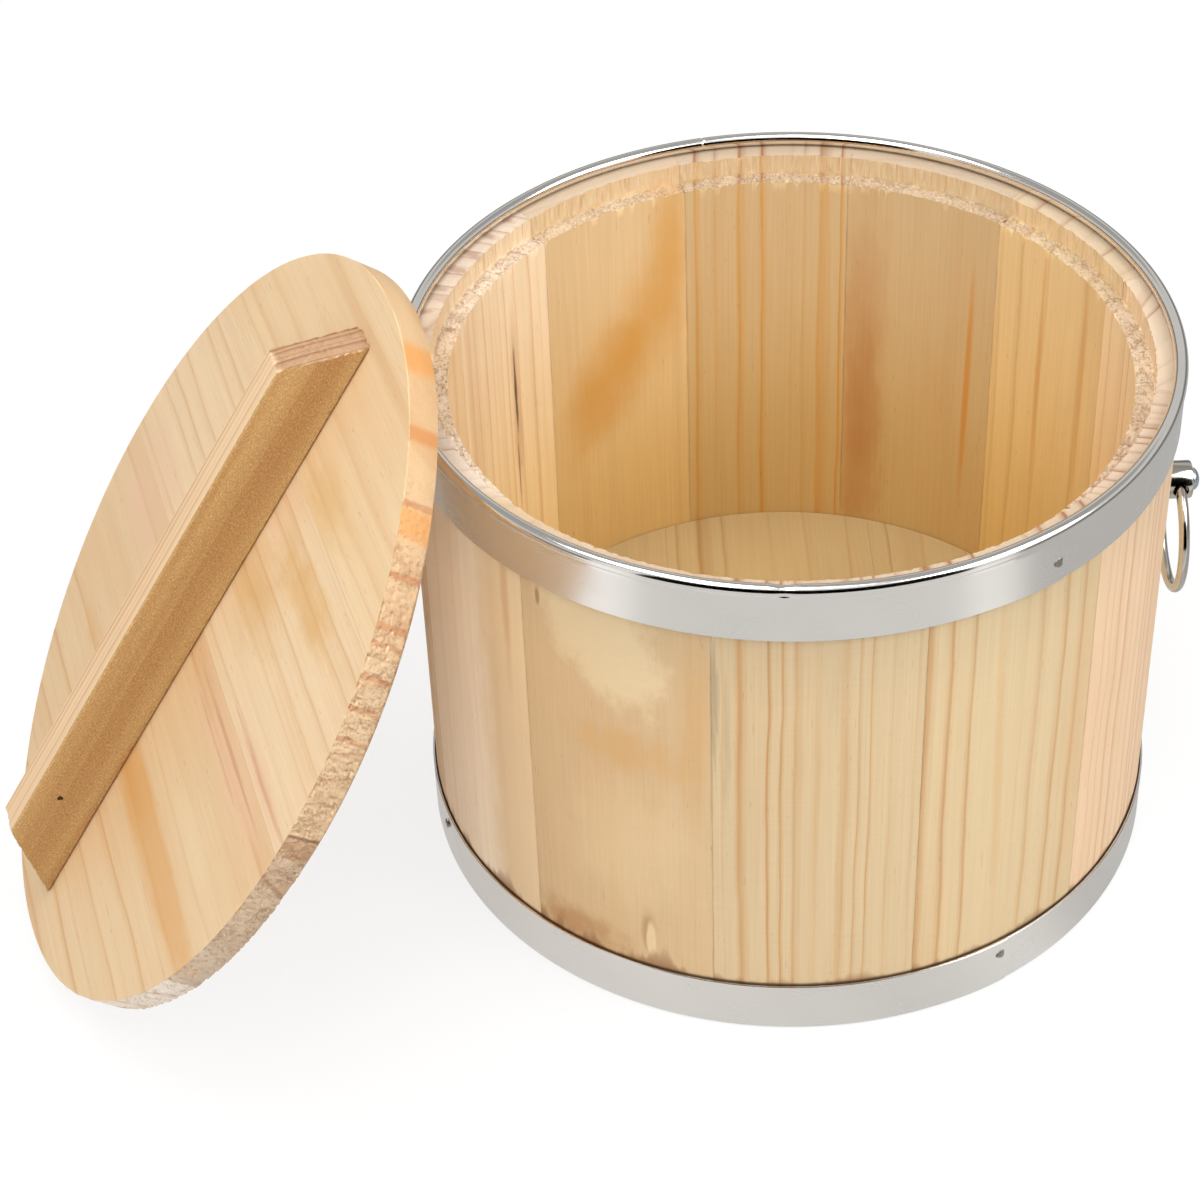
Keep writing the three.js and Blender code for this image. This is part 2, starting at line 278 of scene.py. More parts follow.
def newGroup(name, inputs, **outputs):
    # each input's kind follows from its value: 4 numbers for a colour, 3 for a vector, 1 for a plain value
    kinds = {4: "Color", 3: "Vector", 1: "Float"}
    tree = bpy.data.node_groups.new(name, "ShaderNodeTree")
    for label, value in inputs.items():
        kind = kinds[np.size(value)]
        socket = tree.interface.new_socket(label, in_out="INPUT", socket_type=f"NodeSocket{kind}")
        socket.default_value = value
    for label, kind in outputs.items():
        tree.interface.new_socket(label, in_out="OUTPUT", socket_type=f"NodeSocket{kind}")
    bench = Bench(tree)
    return tree, bench, bench.put("NodeGroupInput").outputs


def newMaterial(name):
    material = bpy.data.materials.new(name)
    material.use_nodes = True
    material.node_tree.nodes.clear()
    return material, Bench(material.node_tree)


def pineGroup():
    # pine: growth rings round a pith line, fibres along it, pits where the fibres end
    tree, b, entry = newGroup("pine", {
        "Place": (0, 0, 0),  # mm from the pith, +Z along the grain
        "End": 0.0,  # 1 where the surface cuts across the fibres
        "Seed": 0.0,
        "Ring": 7.0,  # ring width in mm
        "Wander": 6.0,  # how far the rings stray, in mm
        "Bands": 0.6,  # strength of the late wood
        "Flush": 0.3,  # share of warm heartwood colour
        "Pits": 1.0,  # how open the cut fibres are
        "Pale": paint(232, 200, 150),
        "Late": paint(205, 150, 95),
        "Warm": paint(222, 160, 105),
    }, Color="Color", Roughness="Float", Height="Float")
    place, seed, end = entry["Place"], entry["Seed"], entry["End"]
    drift = b.vector("ADD", place, b.vector("SCALE", (1.0, 1.0, 1.0), b.times(seed, 37.7)))
    # rings: distance from the pith line, bent by a slow wander, counted in ring widths of uneven size
    slow = b.noise(drift, (0.016, 0.016, 0.0045), out="Color")
    bend = b.vector("SCALE", b.vector("SUBTRACT", slow, (0.5, 0.5, 0.5)), entry["Wander"])
    ripple = b.noise(drift, (0.03, 0.03, 0.022), out="Color")
    bend = b.vector("ADD", bend, b.vector("SCALE", b.vector("SUBTRACT", ripple, (0.5, 0.5, 0.5)), 2.4))
    across = b.vector("MULTIPLY", b.vector("ADD", place, bend), (1, 1, 0))
    distance = b.math("DIVIDE", b.vector("LENGTH", across, out="Value"), entry["Ring"])
    uneven = b.noise(b.join(b.times(distance, 0.7), seed, 0.0), detail=1.0)
    count = b.math("ADD", distance, b.times(b.math("SUBTRACT", uneven, 0.5), 2.2))
    part = b.math("FRACT", count)
    whole = b.math("ADD", b.math("FLOOR", count), seed)
    chance = b.put("ShaderNodeTexWhiteNoise", {"W": whole}, noise_dimensions="1D")
    fade = b.noise(drift, (0.05, 0.05, 0.012))
    strength = b.scaled(chance.outputs["Value"], 1.0, b.scaled(fade, 1.0, -0.42))
    line = b.ramp(part, [(0.0, 0.15), (0.12, 0.0), (0.55, 0.05), (0.76, 0.4), (0.88, 1.0), (1.0, 0.15)])
    late = b.math("MULTIPLY", line, strength, clamp=True)
    # fibres: long thin streaks, and short dark dashes of resin
    fibre = b.noise(drift, (1.5, 1.5, 0.02), 4.0, 0.62)
    streak = b.noise(drift, (0.22, 0.22, 0.005))
    dash = b.step(b.noise(drift, (1.9, 1.9, 0.16), 1.0, 0.4), 0.735, 0.79)
    cloud = b.noise(drift, (0.03, 0.03, 0.008), 3.0, 0.55)
    # colour: pale early wood, darker late wood, warm clouds, then fibres and dashes
    flush = b.times(b.step(cloud, 0.4, 0.7), entry["Flush"])
    base = b.blend(flush, entry["Pale"], entry["Warm"])
    color = b.blend(b.math("MULTIPLY", late, entry["Bands"], clamp=True), base, entry["Late"])
    color = b.over(color, entry["Warm"], b.step(streak, 0.5, 0.8), 0.22)
    color = b.vector("SCALE", color, b.scaled(fibre, 0.24, 0.88))
    color = b.over(color, paint(150, 98, 55), dash, 0.3, b.less(end))
    # end grain: pits between the fibres, late wood redder
    torn = b.step(b.noise(drift, (0.16, 0.16, 0.16), 2.0), 0.38, 0.62)
    hole = b.scaled(torn, 0.1, b.noise(drift, (1.5, 1.5, 0.7), 3.0, 0.65))
    pit = b.times(b.step(hole, 0.56, 0.7), entry["Pits"])
    grit = b.noise(drift, (3.0, 3.0, 1.4), 2.0, 0.6)
    clean = b.scaled(entry["Pits"], -0.4, 1.4)
    endLate = b.math("MULTIPLY", b.math("MULTIPLY", late, entry["Bands"]), clean, clamp=True)
    endColor = b.blend(endLate, b.blend(0.55, base, paint(228, 200, 168)), paint(176, 122, 82))
    endColor = b.over(endColor, paint(150, 102, 62), pit, 0.55)
    endColor = b.vector("SCALE", endColor, b.scaled(grit, 0.34, 0.83))
    rough = b.scaled(end, 0.28, b.scaled(fibre, 0.2, 0.4))
    faceHeight = b.scaled(late, 0.06, b.times(fibre, 0.5))
    endHeight = b.math("SUBTRACT", b.times(grit, 0.6), b.times(pit, 1.5))
    height = b.scaled(b.math("SUBTRACT", endHeight, faceHeight), end, faceHeight)
    b.put("NodeGroupOutput", dict(Color=b.blend(end, color, endColor), Roughness=rough, Height=height))
    return tree


def patchGroup():
    # an oval patch: distance from its middle in half widths, sheared by the slant, its edge torn by noise
    tree, b, entry = newGroup("patch", {
        "Place": (0, 0, 0), "Middle": (0, 0, 0), "Half": (10, 10, 10),
        "Slant": 0.0, "Ragged": 0.5, "Soft": 0.3, "Grain": (0.12, 0.12, 0.05),
    }, Mask="Float")
    x, y, z = b.split(b.vector("SUBTRACT", entry["Place"], entry["Middle"]))
    leaning = b.join(x, b.scaled(z, entry["Slant"], y), z)
    share = b.vector("DIVIDE", leaning, entry["Half"])
    torn = b.noise(entry["Place"], entry["Grain"], 4.0, 0.6)
    tear = b.times(b.math("SUBTRACT", torn, 0.5), b.times(entry["Ragged"], 2.0))
    reach = b.math("ADD", b.vector("LENGTH", share, out="Value"), tear)
    b.put("NodeGroupOutput", {"Mask": b.less(b.step(reach, b.less(entry["Soft"]), 1.0))})
    return tree


pine = pineGroup()
patch = patchGroup()


def mark(middle, half, color, share, ragged=0.4, soft=0.5, slant=0.0, grain=(0.15, 0.15, 0.05)):
    # one stain or streak on a board, in the board's own mm
    shape = dict(Middle=middle, Half=half, Ragged=ragged, Soft=soft, Slant=slant, Grain=grain)
    return dict(shape=shape, color=color, share=share)


def wood(pith, ring, bands, flush, **more):
    # a board's look: where its pith lies, its ring width in mm, how strong its rings and its warm clouds are
    return dict(pith=pith, Ring=ring, Bands=bands, Flush=flush, **more)


def stained(b, board, color, marks, *where):
    # each mark blended over the colour by its patch mask, kept to where these masks are 1
    for stain in marks:
        mask = b.group(patch, Place=board, **stain["shape"])["Mask"]
        color = b.over(color, stain["color"], mask, *where, stain["share"])
    return color


def cover(b, color, roughness, height, strength, depth, more):
    # the last nodes of a material: a bump of this depth, in mm, under one shader
    bump = b.put("ShaderNodeBump", {"Strength": strength, "Distance": depth * mm, "Height": height})
    feeds = {"Base Color": color, "Roughness": roughness, "Normal": bump.outputs["Normal"]}
    b.surface(b.put("ShaderNodeBsdfPrincipled", feeds | more))


endSlope = (0.45, 0.85)  # share of a face's normal along the grain where end grain starts and is full


def woodMaterial(name, turn, middle, look, finish=None):
    # turn takes the object's axes to the board's (grain along Z); middle, in mm, becomes the board's own zero
    material, b = newMaterial(name)
    coords = b.put("ShaderNodeTexCoord").outputs
    turn = Matrix(turn)
    euler = turn.to_euler("XYZ")
    scale, shift = (1 / mm, 1 / mm, 1 / mm), -(turn @ Vector(middle))
    feeds = dict(Vector=coords["Object"], Scale=scale, Rotation=euler, Location=shift)
    board = b.put("ShaderNodeMapping", feeds, vector_type="POINT").outputs["Vector"]
    feeds = dict(Vector=coords["Normal"], Rotation=euler)
    facing = b.put("ShaderNodeMapping", feeds, vector_type="NORMAL").outputs["Vector"]
    end = b.step(b.math("ABSOLUTE", b.split(facing)[2]), *endSlope)
    values = {key: value for key, value in look.items() if key[0].isupper()}
    if "planedAbove" in look:  # a planed end has no open pits
        planed = b.step(b.split(board)[2], look["planedAbove"] - 0.5, look["planedAbove"] + 0.5)
        values["Pits"] = b.times(b.less(planed), values["Pits"])
    grown = b.group(pine, Place=b.vector("SUBTRACT", board, (*look["pith"], 0)), End=end, **values)
    color = stained(b, board, grown["Color"], look.get("marks", ()))
    roughness, height = grown["Roughness"], grown["Height"]
    if finish is not None:
        color, roughness, height = finish(look, b, board, facing, end, color, roughness, height)
    cover(b, color, roughness, height, strength=0.55, depth=0.25, more={"Specular IOR Level": 0.35})
    return material


def metalMaterial(name, color, roughness, scratch, burnish=None, dents=0.0):
    # bare metal: fine scratches, smudges that vary the gloss, slow dents; a burnished strip is scratched
    # along its run, and is smoother above its heights of burnish, in metres
    material, b = newMaterial(name)
    coords = b.put("ShaderNodeTexCoord").outputs
    gloss = roughness
    if burnish:
        run = coords["UV"]
        fine = b.noise(run, (0.05, 5.0, 1.0), 3.0, 0.6)
        slow = b.noise(run, (0.045, 0.08, 1.0))
        scar = b.step(b.noise(run, (0.3, 0.9, 1.0), 3.0, 0.7), 0.75, 0.81)
        gloss = b.scaled(b.step(b.split(coords["Object"])[2], *burnish), -0.14, roughness)
    else:
        run = b.vector("SCALE", coords["Object"], 1 / mm)
        fine = b.noise(run, (3.0, 3.0, 3.0), 2.0, 0.6)
        slow = b.noise(run, (0.2, 0.2, 0.2))
        scar = b.step(b.noise(run, (0.8, 0.8, 0.8)), 0.8, 0.9)
    smudge = b.step(slow, 0.35, 0.75)
    darker = lambda share: (*(channel * share for channel in color[:3]), 1.0)
    tint = b.over(color, darker(0.84), smudge, 0.16)
    tint = b.over(tint, darker(0.4), scar, 0.4)
    haze = b.scaled(smudge, 0.04, b.scaled(fine, 0.08, -0.05))
    height = b.scaled(slow, dents, b.math("SUBTRACT", fine, scar))
    cover(b, tint, b.math("ADD", gloss, haze), height, strength=scratch, depth=0.1, more={"Metallic": 1.0})
    return material


hoopSteel = metalMaterial("hoop_steel", paint(242, 238, 232), 0.25, 0.06, (0.1635, 0.165), 3.0)
pullNickel = metalMaterial("pull_nickel", paint(210, 204, 194), 0.12, 0.03)
screwZinc = metalMaterial("screw_zinc", paint(196, 207, 216), 0.28, 0.08)
nailSteel = metalMaterial("nail_steel", paint(158, 152, 144), 0.3, 0.5)
nailDark = metalMaterial("nail_dark", paint(84, 72, 60), 0.5, 0.5)
print("materials ready")


# staves: sizes in mm; grit, pits, chips and tears are how deep the turned ledge is torn; the pairs are where
# a tone of the finish starts and is full, outwards from the wall's outside or up; the inside faces' rise and
# the outer shade are painted light and shade
stave = dict(
    count=12, outside=111.0, inside=98.4, height=164.0, ledgeRadius=103.8, ledgeHeight=157.5,
    grooveRadius=102.7, grooveLow=16.7, grooveHigh=23.3, jointGap=0.06, steps=160, seed=0.5, seedStep=1.37,
    ledgeGrit=0.65, pitDepth=0.9, edgeChip=1.2, wallTear=0.6, lipChip=0.35, hoopEdge=17.5, planed=160.0,
    seeds=dict(grit=11, pits=31, tear=51, bite=71, notch=91),
    innerFace=(-6.6, -6.0), outerFace=(-7.0, -5.0), innerLightRise=(40.0, 150.0), outerShade=(120.0, 152.0),
)
straw, honey, blush = paint(208, 183, 143), paint(190, 145, 92), paint(204, 164, 118)
amber, gold, rust, soot = paint(208, 144, 58), paint(211, 156, 70), paint(178, 116, 62), paint(112, 98, 80)
innerLitTint, innerShadeTint = (1.09, 1.09, 1.06, 1.0), (0.96, 0.88, 0.6, 1.0)  # inside faces: painted light near the rim, painted shade lower down, darker and warmer


def rimBands(*places):
    # ragged brown late wood across the planed rim, at these places along it
    brown, grain = paint(166, 116, 82), (0.25, 0.25, 0.25)
    spots = [(-4, place, stave["height"]) for place in places]
    return [mark(spot, (5, 2.3, 4), brown, 0.5, 0.7, 0.7, 0.0, grain) for spot in spots]


# bearing 0 first, then every 30 degrees; pith and marks are (outwards, sideways, up) on the stave
staveLooks = [
    wood((-70, 60), 7.0, 0.5, 0.3, Pale=paint(244, 216, 176), Warm=paint(232, 192, 144)),
    wood((-40, 130), 10.0, 0.4, 0.2, Pale=paint(232, 204, 154), marks=[
        mark((-13, 6.4, 112), (8, 1.5, 62), amber, 0.5, 0.25, 0.8),
        mark((-13.5, -15, 120), (8, 1.7, 62), amber, 0.45, 0.25, 0.8),
    ]),
    wood((-160, -50), 12.0, 0.3, 0.4, marks=[
        mark((-14, 20, 88), (8, 12, 100), rust, 0.42, 0.4, 0.9),
        mark((-14, 19, 60), (8, 10, 60), rust, 0.35, 0.4, 0.9),
        mark((-14, -16.8, 92), (8, 1.6, 58), amber, 0.75, 0.2, 0.7, 0.012),
    ]),
    wood((-20, -150), 7.0, 0.85, 0.2, Wander=3.0, Late=paint(204, 148, 62)),
    wood((-190, 20), 13.0, 0.2, 0.2, Pale=paint(226, 200, 158), marks=[
        mark((-13, 7, 92), (12, 20, 34), gold, 0.75, 0.35, 1.0, 0.3, (0.06, 0.06, 0.05)),
        mark((-13.5, -8, 108), (12, 15, 40), gold, 0.75, 0.35, 1.0, 0.2, (0.06, 0.06, 0.05)),
        mark((-14, -20, 134), (12, 11, 54), gold, 0.7, 0.3, 1.0, 0.05, (0.06, 0.06, 0.04)),
    ]),
    # this stave's pale colours are painted lighter: painted light on its inside face, which lies in the tub's
    # shade
    wood((-30, 140), 5.5, 0.5, 0.2, Pale=paint(252, 232, 202), Late=paint(210, 154, 96), marks=[
        mark((-13, -8.4, 106), (8, 3.2, 44), rust, 0.35, 0.4, 0.8),
        mark((-13, -8.4, 112), (8, 0.9, 22), paint(70, 46, 28), 0.85, 0.4, 0.7, 0.0, (0.3, 0.5, 0.1)),
        mark((-13, -8.0, 80), (8, 0.55, 20), paint(104, 70, 42), 0.6, 0.5, 0.7, 0.0, (0.3, 0.5, 0.1)),
        *rimBands(-23, -13, -2, 7, 18),
    ]),
    # this stave's pale colours are painted lighter: painted light on its inside face, which lies in the tub's
    # shade
    wood((-90, 30), 7.0, 0.5, 0.3, Pale=paint(242, 216, 178), Warm=paint(230, 192, 146),
         marks=rimBands(-26, -17, -6, 8, 21)),
    # this stave is painted lighter as painted light where the lid shades it, and its wide soft mark paints
    # shade over its better-lit right part
    wood((-50, -120), 5.0, 0.5, 0.4, damp=8,
         Pale=paint(255, 240, 216), Late=paint(238, 204, 168), Warm=paint(250, 224, 196), marks=[
             # painted shade on the stave's right part, which the lamps light more
             mark((-3, 27, 85), (40, 24, 300), paint(220, 189, 142), 0.8, 0.15, 0.55),
             mark((-3, 22, 135), (8, 2.4, 40), paint(198, 146, 104), 0.5, 0.4, 0.8),
         ]),
    wood((-170, 10), 16.0, 0.14, 0.3, Pale=paint(207, 176, 133), damp=11, marks=[
        mark((-1, 4, 64), (14, 28, 34), paint(226, 201, 156), 0.35, 0.5, 0.8),
        mark((-1, -4, 142), (20, 21, 31), paint(226, 202, 160), 0.75, 0.5, 0.4, 0.4, (0.05, 0.12, 0.08)),
        mark((-3, 24, 115), (8, 6, 46), paint(204, 156, 96), 0.5, 0.4, 0.8),
        mark((-2, 3, 101), (14, 22, 12), paint(206, 160, 98), 0.6, 0.8, 0.8),
        mark((-2, -14, 22), (12, 22, 12), paint(168, 114, 60), 0.6, 0.8, 0.9, 0.0, (0.1, 0.12, 0.1)),
        mark((0, 9.6, 31), (12, 3.0, 11), paint(156, 104, 54), 0.5, 0.7, 0.7),
        mark((0, 10.3, 28), (12, 1.9, 9.5), paint(228, 204, 158), 0.8, 0.5, 0.4),
        mark((-2, -22.8, 145), (12, 1.1, 4.5), paint(150, 100, 56), 0.7, 0.5, 0.6),
    ]),
    wood((-10, 160), 5.2, 1.0, 0.1, Wander=4.0, Late=paint(191, 143, 87), marks=[
        mark((-3.7, -28.0, 128), (6, 2.2, 34), soot, 0.4, 0.9, 0.9, 0.0, (0.6, 1.1, 0.06)),
        mark((-3, -24.6, 112), (6, 1.4, 42), soot, 0.2, 0.9, 0.9, 0.0, (0.6, 1.1, 0.06)),
        mark((0, 4, 128), (12, 3.0, 17), soot, 0.06, 0.9, 0.9, 0.0, (0.6, 0.9, 0.09)),
    ]),
    wood((-60, -190), 9.0, 0.85, 0.1, Pale=paint(212, 187, 145), marks=[
        mark((-3, 25, 88), (10, 7, 90), paint(212, 168, 118), 0.35, 0.4, 0.8),
        mark((-1, -5, 90), (10, 2.2, 90), paint(206, 162, 106), 0.45, 0.3, 0.8, 0.03),
    ]),
    wood((-40, 130), 4.2, 0.7, 0.4,
         Pale=paint(230, 198, 160), Late=paint(196, 140, 98), Warm=paint(222, 182, 144)),
]


def staveShape(number):
    # the stave's section carried through its share of the circle; noise tears and chips the turned ledge
    s = stave
    inside, outside, top, groove = s["inside"], s["outside"], s["height"], s["grooveRadius"]
    ledgeRadius, ledgeHeight = s["ledgeRadius"], s["ledgeHeight"]
    corners = [
        (inside, 0), (outside, 0), (outside, top), (ledgeRadius, top), (ledgeRadius, ledgeHeight),
        (inside, ledgeHeight), (inside, s["grooveHigh"]), (groove, s["grooveHigh"]), (groove, s["grooveLow"]),
        (inside, s["grooveLow"]), (inside, 0),
    ]
    profile = divided(corners, [3, 10, 10, 16, 16, 36, 2, 2, 2, 4])
    seed = {tear: first + number for tear, first in s["seeds"].items()}
    bearing = 360 / s["count"] * number
    half = 180 / s["count"]
    share = np.linspace(-1, 1, s["steps"])
    radius = np.repeat(profile[:, :1], s["steps"], 1)
    height = np.repeat(profile[:, 1:], s["steps"], 1)
    slack = np.degrees(s["jointGap"] / 2 / radius)
    angle = bearing + share[None, :] * (half - slack)
    arc = np.radians(angle) * ledgeRadius
    # where each point lies on the ledge's floor, its wall, its inner edge or the rim's lip
    near = lambda value, at, far, close: easeStep(-np.abs(value - at), -far, -close)
    onFloor = near(height, ledgeHeight, 0.4, 0.05) * easeStep(radius, inside - 0.1, inside + 0.4)
    onWall = near(radius, ledgeRadius, 0.5, 0.05) * easeStep(height, ledgeHeight + 0.2, ledgeHeight + 1)
    onEdge = near(radius, inside, 0.3, 0) * easeStep(height, ledgeHeight - 4, ledgeHeight)
    onLip = near(radius, ledgeRadius, 1.2, 0) * easeStep(height, top - 0.6, top)
    pits = easeStep(softNoise(arc / 1.3, radius / 1.1, seed["pits"]), 0.5, 0.9)
    sink = onFloor * (s["ledgeGrit"] * crumble(arc, radius, 0.9, seed["grit"]) - s["pitDepth"] * pits)
    bite = easeStep(softNoise(arc / 1.7, height / 9, seed["bite"]), 0.4, 0.9)
    notch = easeStep(softNoise(arc / 1.3, radius / 3, seed["notch"]), 0.5, 0.95)
    tear = softNoise(arc / 0.85, height / 6, seed["tear"]) - 0.5
    radius = radius + onWall * s["wallTear"] * tear
    height = height + sink - onEdge * s["edgeChip"] * bite - onLip * s["lipChip"] * notch
    turn = np.radians(angle)
    grid = np.stack([radius * np.cos(turn), radius * np.sin(turn), height], -1) + tubAxis
    return gridMesh(f"staveBoard{number + 1:02d}", [grid], caps=[(0, 0), (0, -1)])


def staveFinish(look, b, board, facing, end, color, roughness, height):
    # inside faces painted lighter near the rim and darker, warmer lower down, as painted light and shade;
    # fine cross scratches, dark joint lines, painted shade under the top hoop, and dirt caught above the
    # lower hoop
    s = stave
    ledgeHeight, hoopEdge = s["ledgeHeight"], s["hoopEdge"]
    outwards, sideways, upwards = b.split(board)
    fromAxis = b.math("ADD", outwards, s["outside"])
    radius = b.math("SQRT", b.scaled(sideways, sideways, b.math("POWER", fromAxis, 2.0)))
    # the torn ledge is found by its height and radius, because its faces point all ways
    low, high, near, far = ledgeHeight - 2.4, ledgeHeight + 0.6, s["inside"] + 0.05, s["ledgeRadius"] - 0.5
    ledge = b.times(b.step(upwards, low, low + 0.6), b.less(b.step(upwards, high, high + 0.5)))
    ledge = b.times(ledge, b.step(radius, near, near + 0.3), b.less(b.step(radius, far, far + 0.3)))
    end = b.math("MAXIMUM", end, ledge)
    notEnd = b.less(end)
    inner = b.times(b.less(b.step(outwards, *s["innerFace"])), notEnd)
    # painted light and shade: inside faces lighter near the rim, darker and warmer deep in the tub
    innerLightTint = b.blend(b.step(upwards, *s["innerLightRise"]), innerShadeTint, innerLitTint)
    color = b.tint(color, innerLightTint, inner)
    onWall = b.times(inner, b.step(upwards, ledgeHeight, ledgeHeight + 0.8))
    torn = b.step(b.noise(board, (1.0, 1.0, 0.07), 3.0, 0.6), 0.54, 0.68)
    wisp = b.step(b.noise(board, (1.3, 1.3, 0.12), 3.0, 0.6), 0.5, 0.66)
    color = b.over(color, paint(230, 206, 170), onWall, 0.4)
    color = b.over(color, paint(188, 134, 80), onWall, torn, 0.4)
    color = b.over(color, paint(242, 218, 186), onWall, wisp, 0.6)
    # painted shade on the upward faces: the planed rim and the torn ledge are tinted darker to hold back the
    # top light, and a little greyer in tone
    planed = b.times(end, b.step(upwards, s["planed"], s["planed"] + 1))
    color = b.tint(color, (0.72, 0.74, 0.81, 1.0), planed)
    color = b.tint(color, (0.8, 0.83, 0.88, 1.0), b.math("SUBTRACT", end, planed))
    specks = b.step(b.noise(board, (1.0, 1.0, 1.0), 2.0, 0.6), 0.54, 0.66)
    color = b.over(color, paint(158, 108, 68), ledge, specks, 0.5)
    outside = b.step(outwards, *s["outerFace"])
    across = b.times(b.noise(board, (0.06, 0.05, 2.4), 3.0, 0.6), outside, notEnd)
    color = b.vector("SCALE", color, b.scaled(across, 0.1, b.scaled(outside, -0.05, 1.0)))
    height = b.scaled(across, 0.35, height)
    # painted shade on the outside just under the top hoop
    shaded = b.times(outside, b.step(upwards, *s["outerShade"]), notEnd)
    color = b.tint(color, (0.9, 0.91, 0.92, 1.0), shaded)
    slope = b.math("DIVIDE", b.math("ABSOLUTE", sideways), fromAxis)
    edgeSlope = float(np.tan(np.pi / s["count"]))
    broken = b.step(b.noise(board, (0.4, 0.4, 0.09), 3.0, 0.6), 0.35, 0.65)
    joint = b.times(b.step(slope, edgeSlope - 0.0055, edgeSlope - 0.001), broken, 0.28)
    color = b.over(color, paint(128, 84, 46), joint)
    waves = b.noise(board, (0.04, 0.11, 0.04), 3.0, 0.6)
    reach = b.scaled(b.step(waves, 0.4, 0.68), look.get("damp", 4.0), hoopEdge + 1.0)
    smudge = b.less(b.step(upwards, hoopEdge - 1.0, reach))
    color = b.over(color, paint(134, 84, 40), smudge, outside, 0.75)
    # a thin dark line along the lower hoop's upper edge: painted contact shadow, with dirt in it
    line = b.less(b.step(upwards, hoopEdge, hoopEdge + 1.3))
    color = b.over(color, paint(62, 42, 26), line, outside, 0.8)
    return color, roughness, height


def addStaves():
    plain = dict(Pale=straw, Late=honey, Warm=blush, Pits=0.8, planedAbove=stave["planed"])
    for number, look in enumerate(staveLooks):
        bearing = np.radians(360 / stave["count"] * number)
        outwards = np.array([np.cos(bearing), np.sin(bearing), 0])
        sideways = np.array([-np.sin(bearing), np.cos(bearing), 0])
        turn = np.array([outwards, sideways, [0, 0, 1]]).tolist()
        middle = tubAxis + outwards * stave["outside"]
        full = plain | dict(Seed=stave["seed"] + number * stave["seedStep"]) | look
        material = woodMaterial(f"stave_pine_{number + 1:02d}", turn, middle, full, staveFinish)
        dress(staveShape(number), f"stave_{number + 1:02d}", "tub", material)


addStaves()
print("staves built")


def discBoard(name, edge, low, high, steps, across, place, rough):
    # sections across the grain carried from low to high; each ring of the edge reaches its half chord there
    edge = np.asarray(edge, float)
    rim = edge[:, 0].max()
    turnLow, turnHigh = np.arcsin(np.clip([low / rim, high / rim], -1, 1))
    lines = rim * np.sin(np.linspace(turnLow, turnHigh, steps))
    extra = [r for r in edge[:, 0] if low < r < high] + [-r for r in edge[:, 0] if low < -r < high]
    lines = np.unique(np.concatenate([lines, extra]))
    reach = np.sqrt(np.maximum(edge[:, :1] ** 2 - lines[None, :] ** 2, 0))
    there = edge[:, :1] >= np.abs(lines)[None, :] - 1e-6
    height = np.repeat(edge[:, 1:], len(lines), 1)
    first = np.argmax(there, 0)
    last = len(edge) - 1 - np.argmax(there[::-1], 0)
    order = np.arange(len(edge))[:, None]
    picked = np.clip(order, first[None, :], last[None, :])
    height = np.take_along_axis(height, picked, 0)
    reach = np.where(there, reach, 0)
    # the upper face, the right edge, the lower face and the left edge, as one closed loop
    span = np.linspace(-1, 1, across)[:, None]
    top = span * reach[0][None, :]
    bottom = -span * reach[-1][None, :]
    x = np.vstack([top, reach[1:-1], bottom, -reach[1:-1][::-1], top[:1]])
    z = np.vstack([0 * top + height[0], height[1:-1], 0 * bottom + height[-1],
                   height[1:-1][::-1], 0 * top[:1] + height[0]])
    y = np.repeat(lines[None, :], len(x), 0)
    if rough is not None:
        x, y, z = rough(x, y, z)
    grid = moved(np.stack([x, y, z], -1), place)
    return gridMesh(name, [grid], caps=[(0, 0), (0, -1)])


def addDisc(kind, body, p, place, edge, looks, rough=None, finish=None):
    # boards edge to edge across a disc: each takes an equal strip of its width, less the gap
    axes, middle = np.array(place.to_3x3()), np.array(place.translation)
    turn = axes[:, [1, 2, 0]].T.tolist()
    width = 2 * max(radius for radius, height in edge) / p["count"]
    for number, look in enumerate(looks):
        low = (number - p["count"] / 2) * width + p["gap"] / 2
        high = low + width - p["gap"]
        board = discBoard(f"{kind}Board{number + 1}", edge, low, high, p["steps"], p["across"], place, rough)
        spot = middle + axes[:, 2] * p["face"] + axes[:, 1] * (low + width / 2)
        full = dict(Seed=p["seed"] + number * p["seedStep"]) | look
        material = woodMaterial(f"{kind}_pine_{number + 1}", turn, spot, full, finish)
        dress(board, f"{kind}_board_{number + 1}", body, material)


# floor: sizes in mm; face is the height of its upper side
floor = dict(
    count=3, radius=98.1, tongue=102.4, low=14, face=26, tongueLow=17, tongueHigh=23, turn=90, gap=0.06,
    steps=60, across=9, seed=20.3, seedStep=1,
)
# the floor boards are coloured darker than the staves: painted shade at the bottom of the tub
floorShadedColors = dict(Pale=paint(186, 162, 116), Late=paint(156, 114, 62), Warm=paint(180, 144, 94))
floorLooks = [
    wood((150, -60), 8.0, 0.6, 0.2, Wander=3.0),
    wood((-170, -20), 8.5, 0.75, 0.15, Wander=3.0),
    wood((-150, 60), 14.0, 0.25, 0.2),
]


def addFloor():
    # a disc with a tongue round its edge, for the staves' groove
    f = floor
    edge = [(f["radius"], f["face"]), (f["radius"], f["tongueHigh"]), (f["tongue"], f["tongueHigh"]),
            (f["tongue"], f["tongueLow"]), (f["radius"], f["tongueLow"]), (f["radius"], f["low"])]
    looks = [floorShadedColors | look for look in floorLooks]
    addDisc("floor", "tub", f, shifted(tubAxis) @ spun(f["turn"]), edge, looks)


addFloor()
print("floor laid")

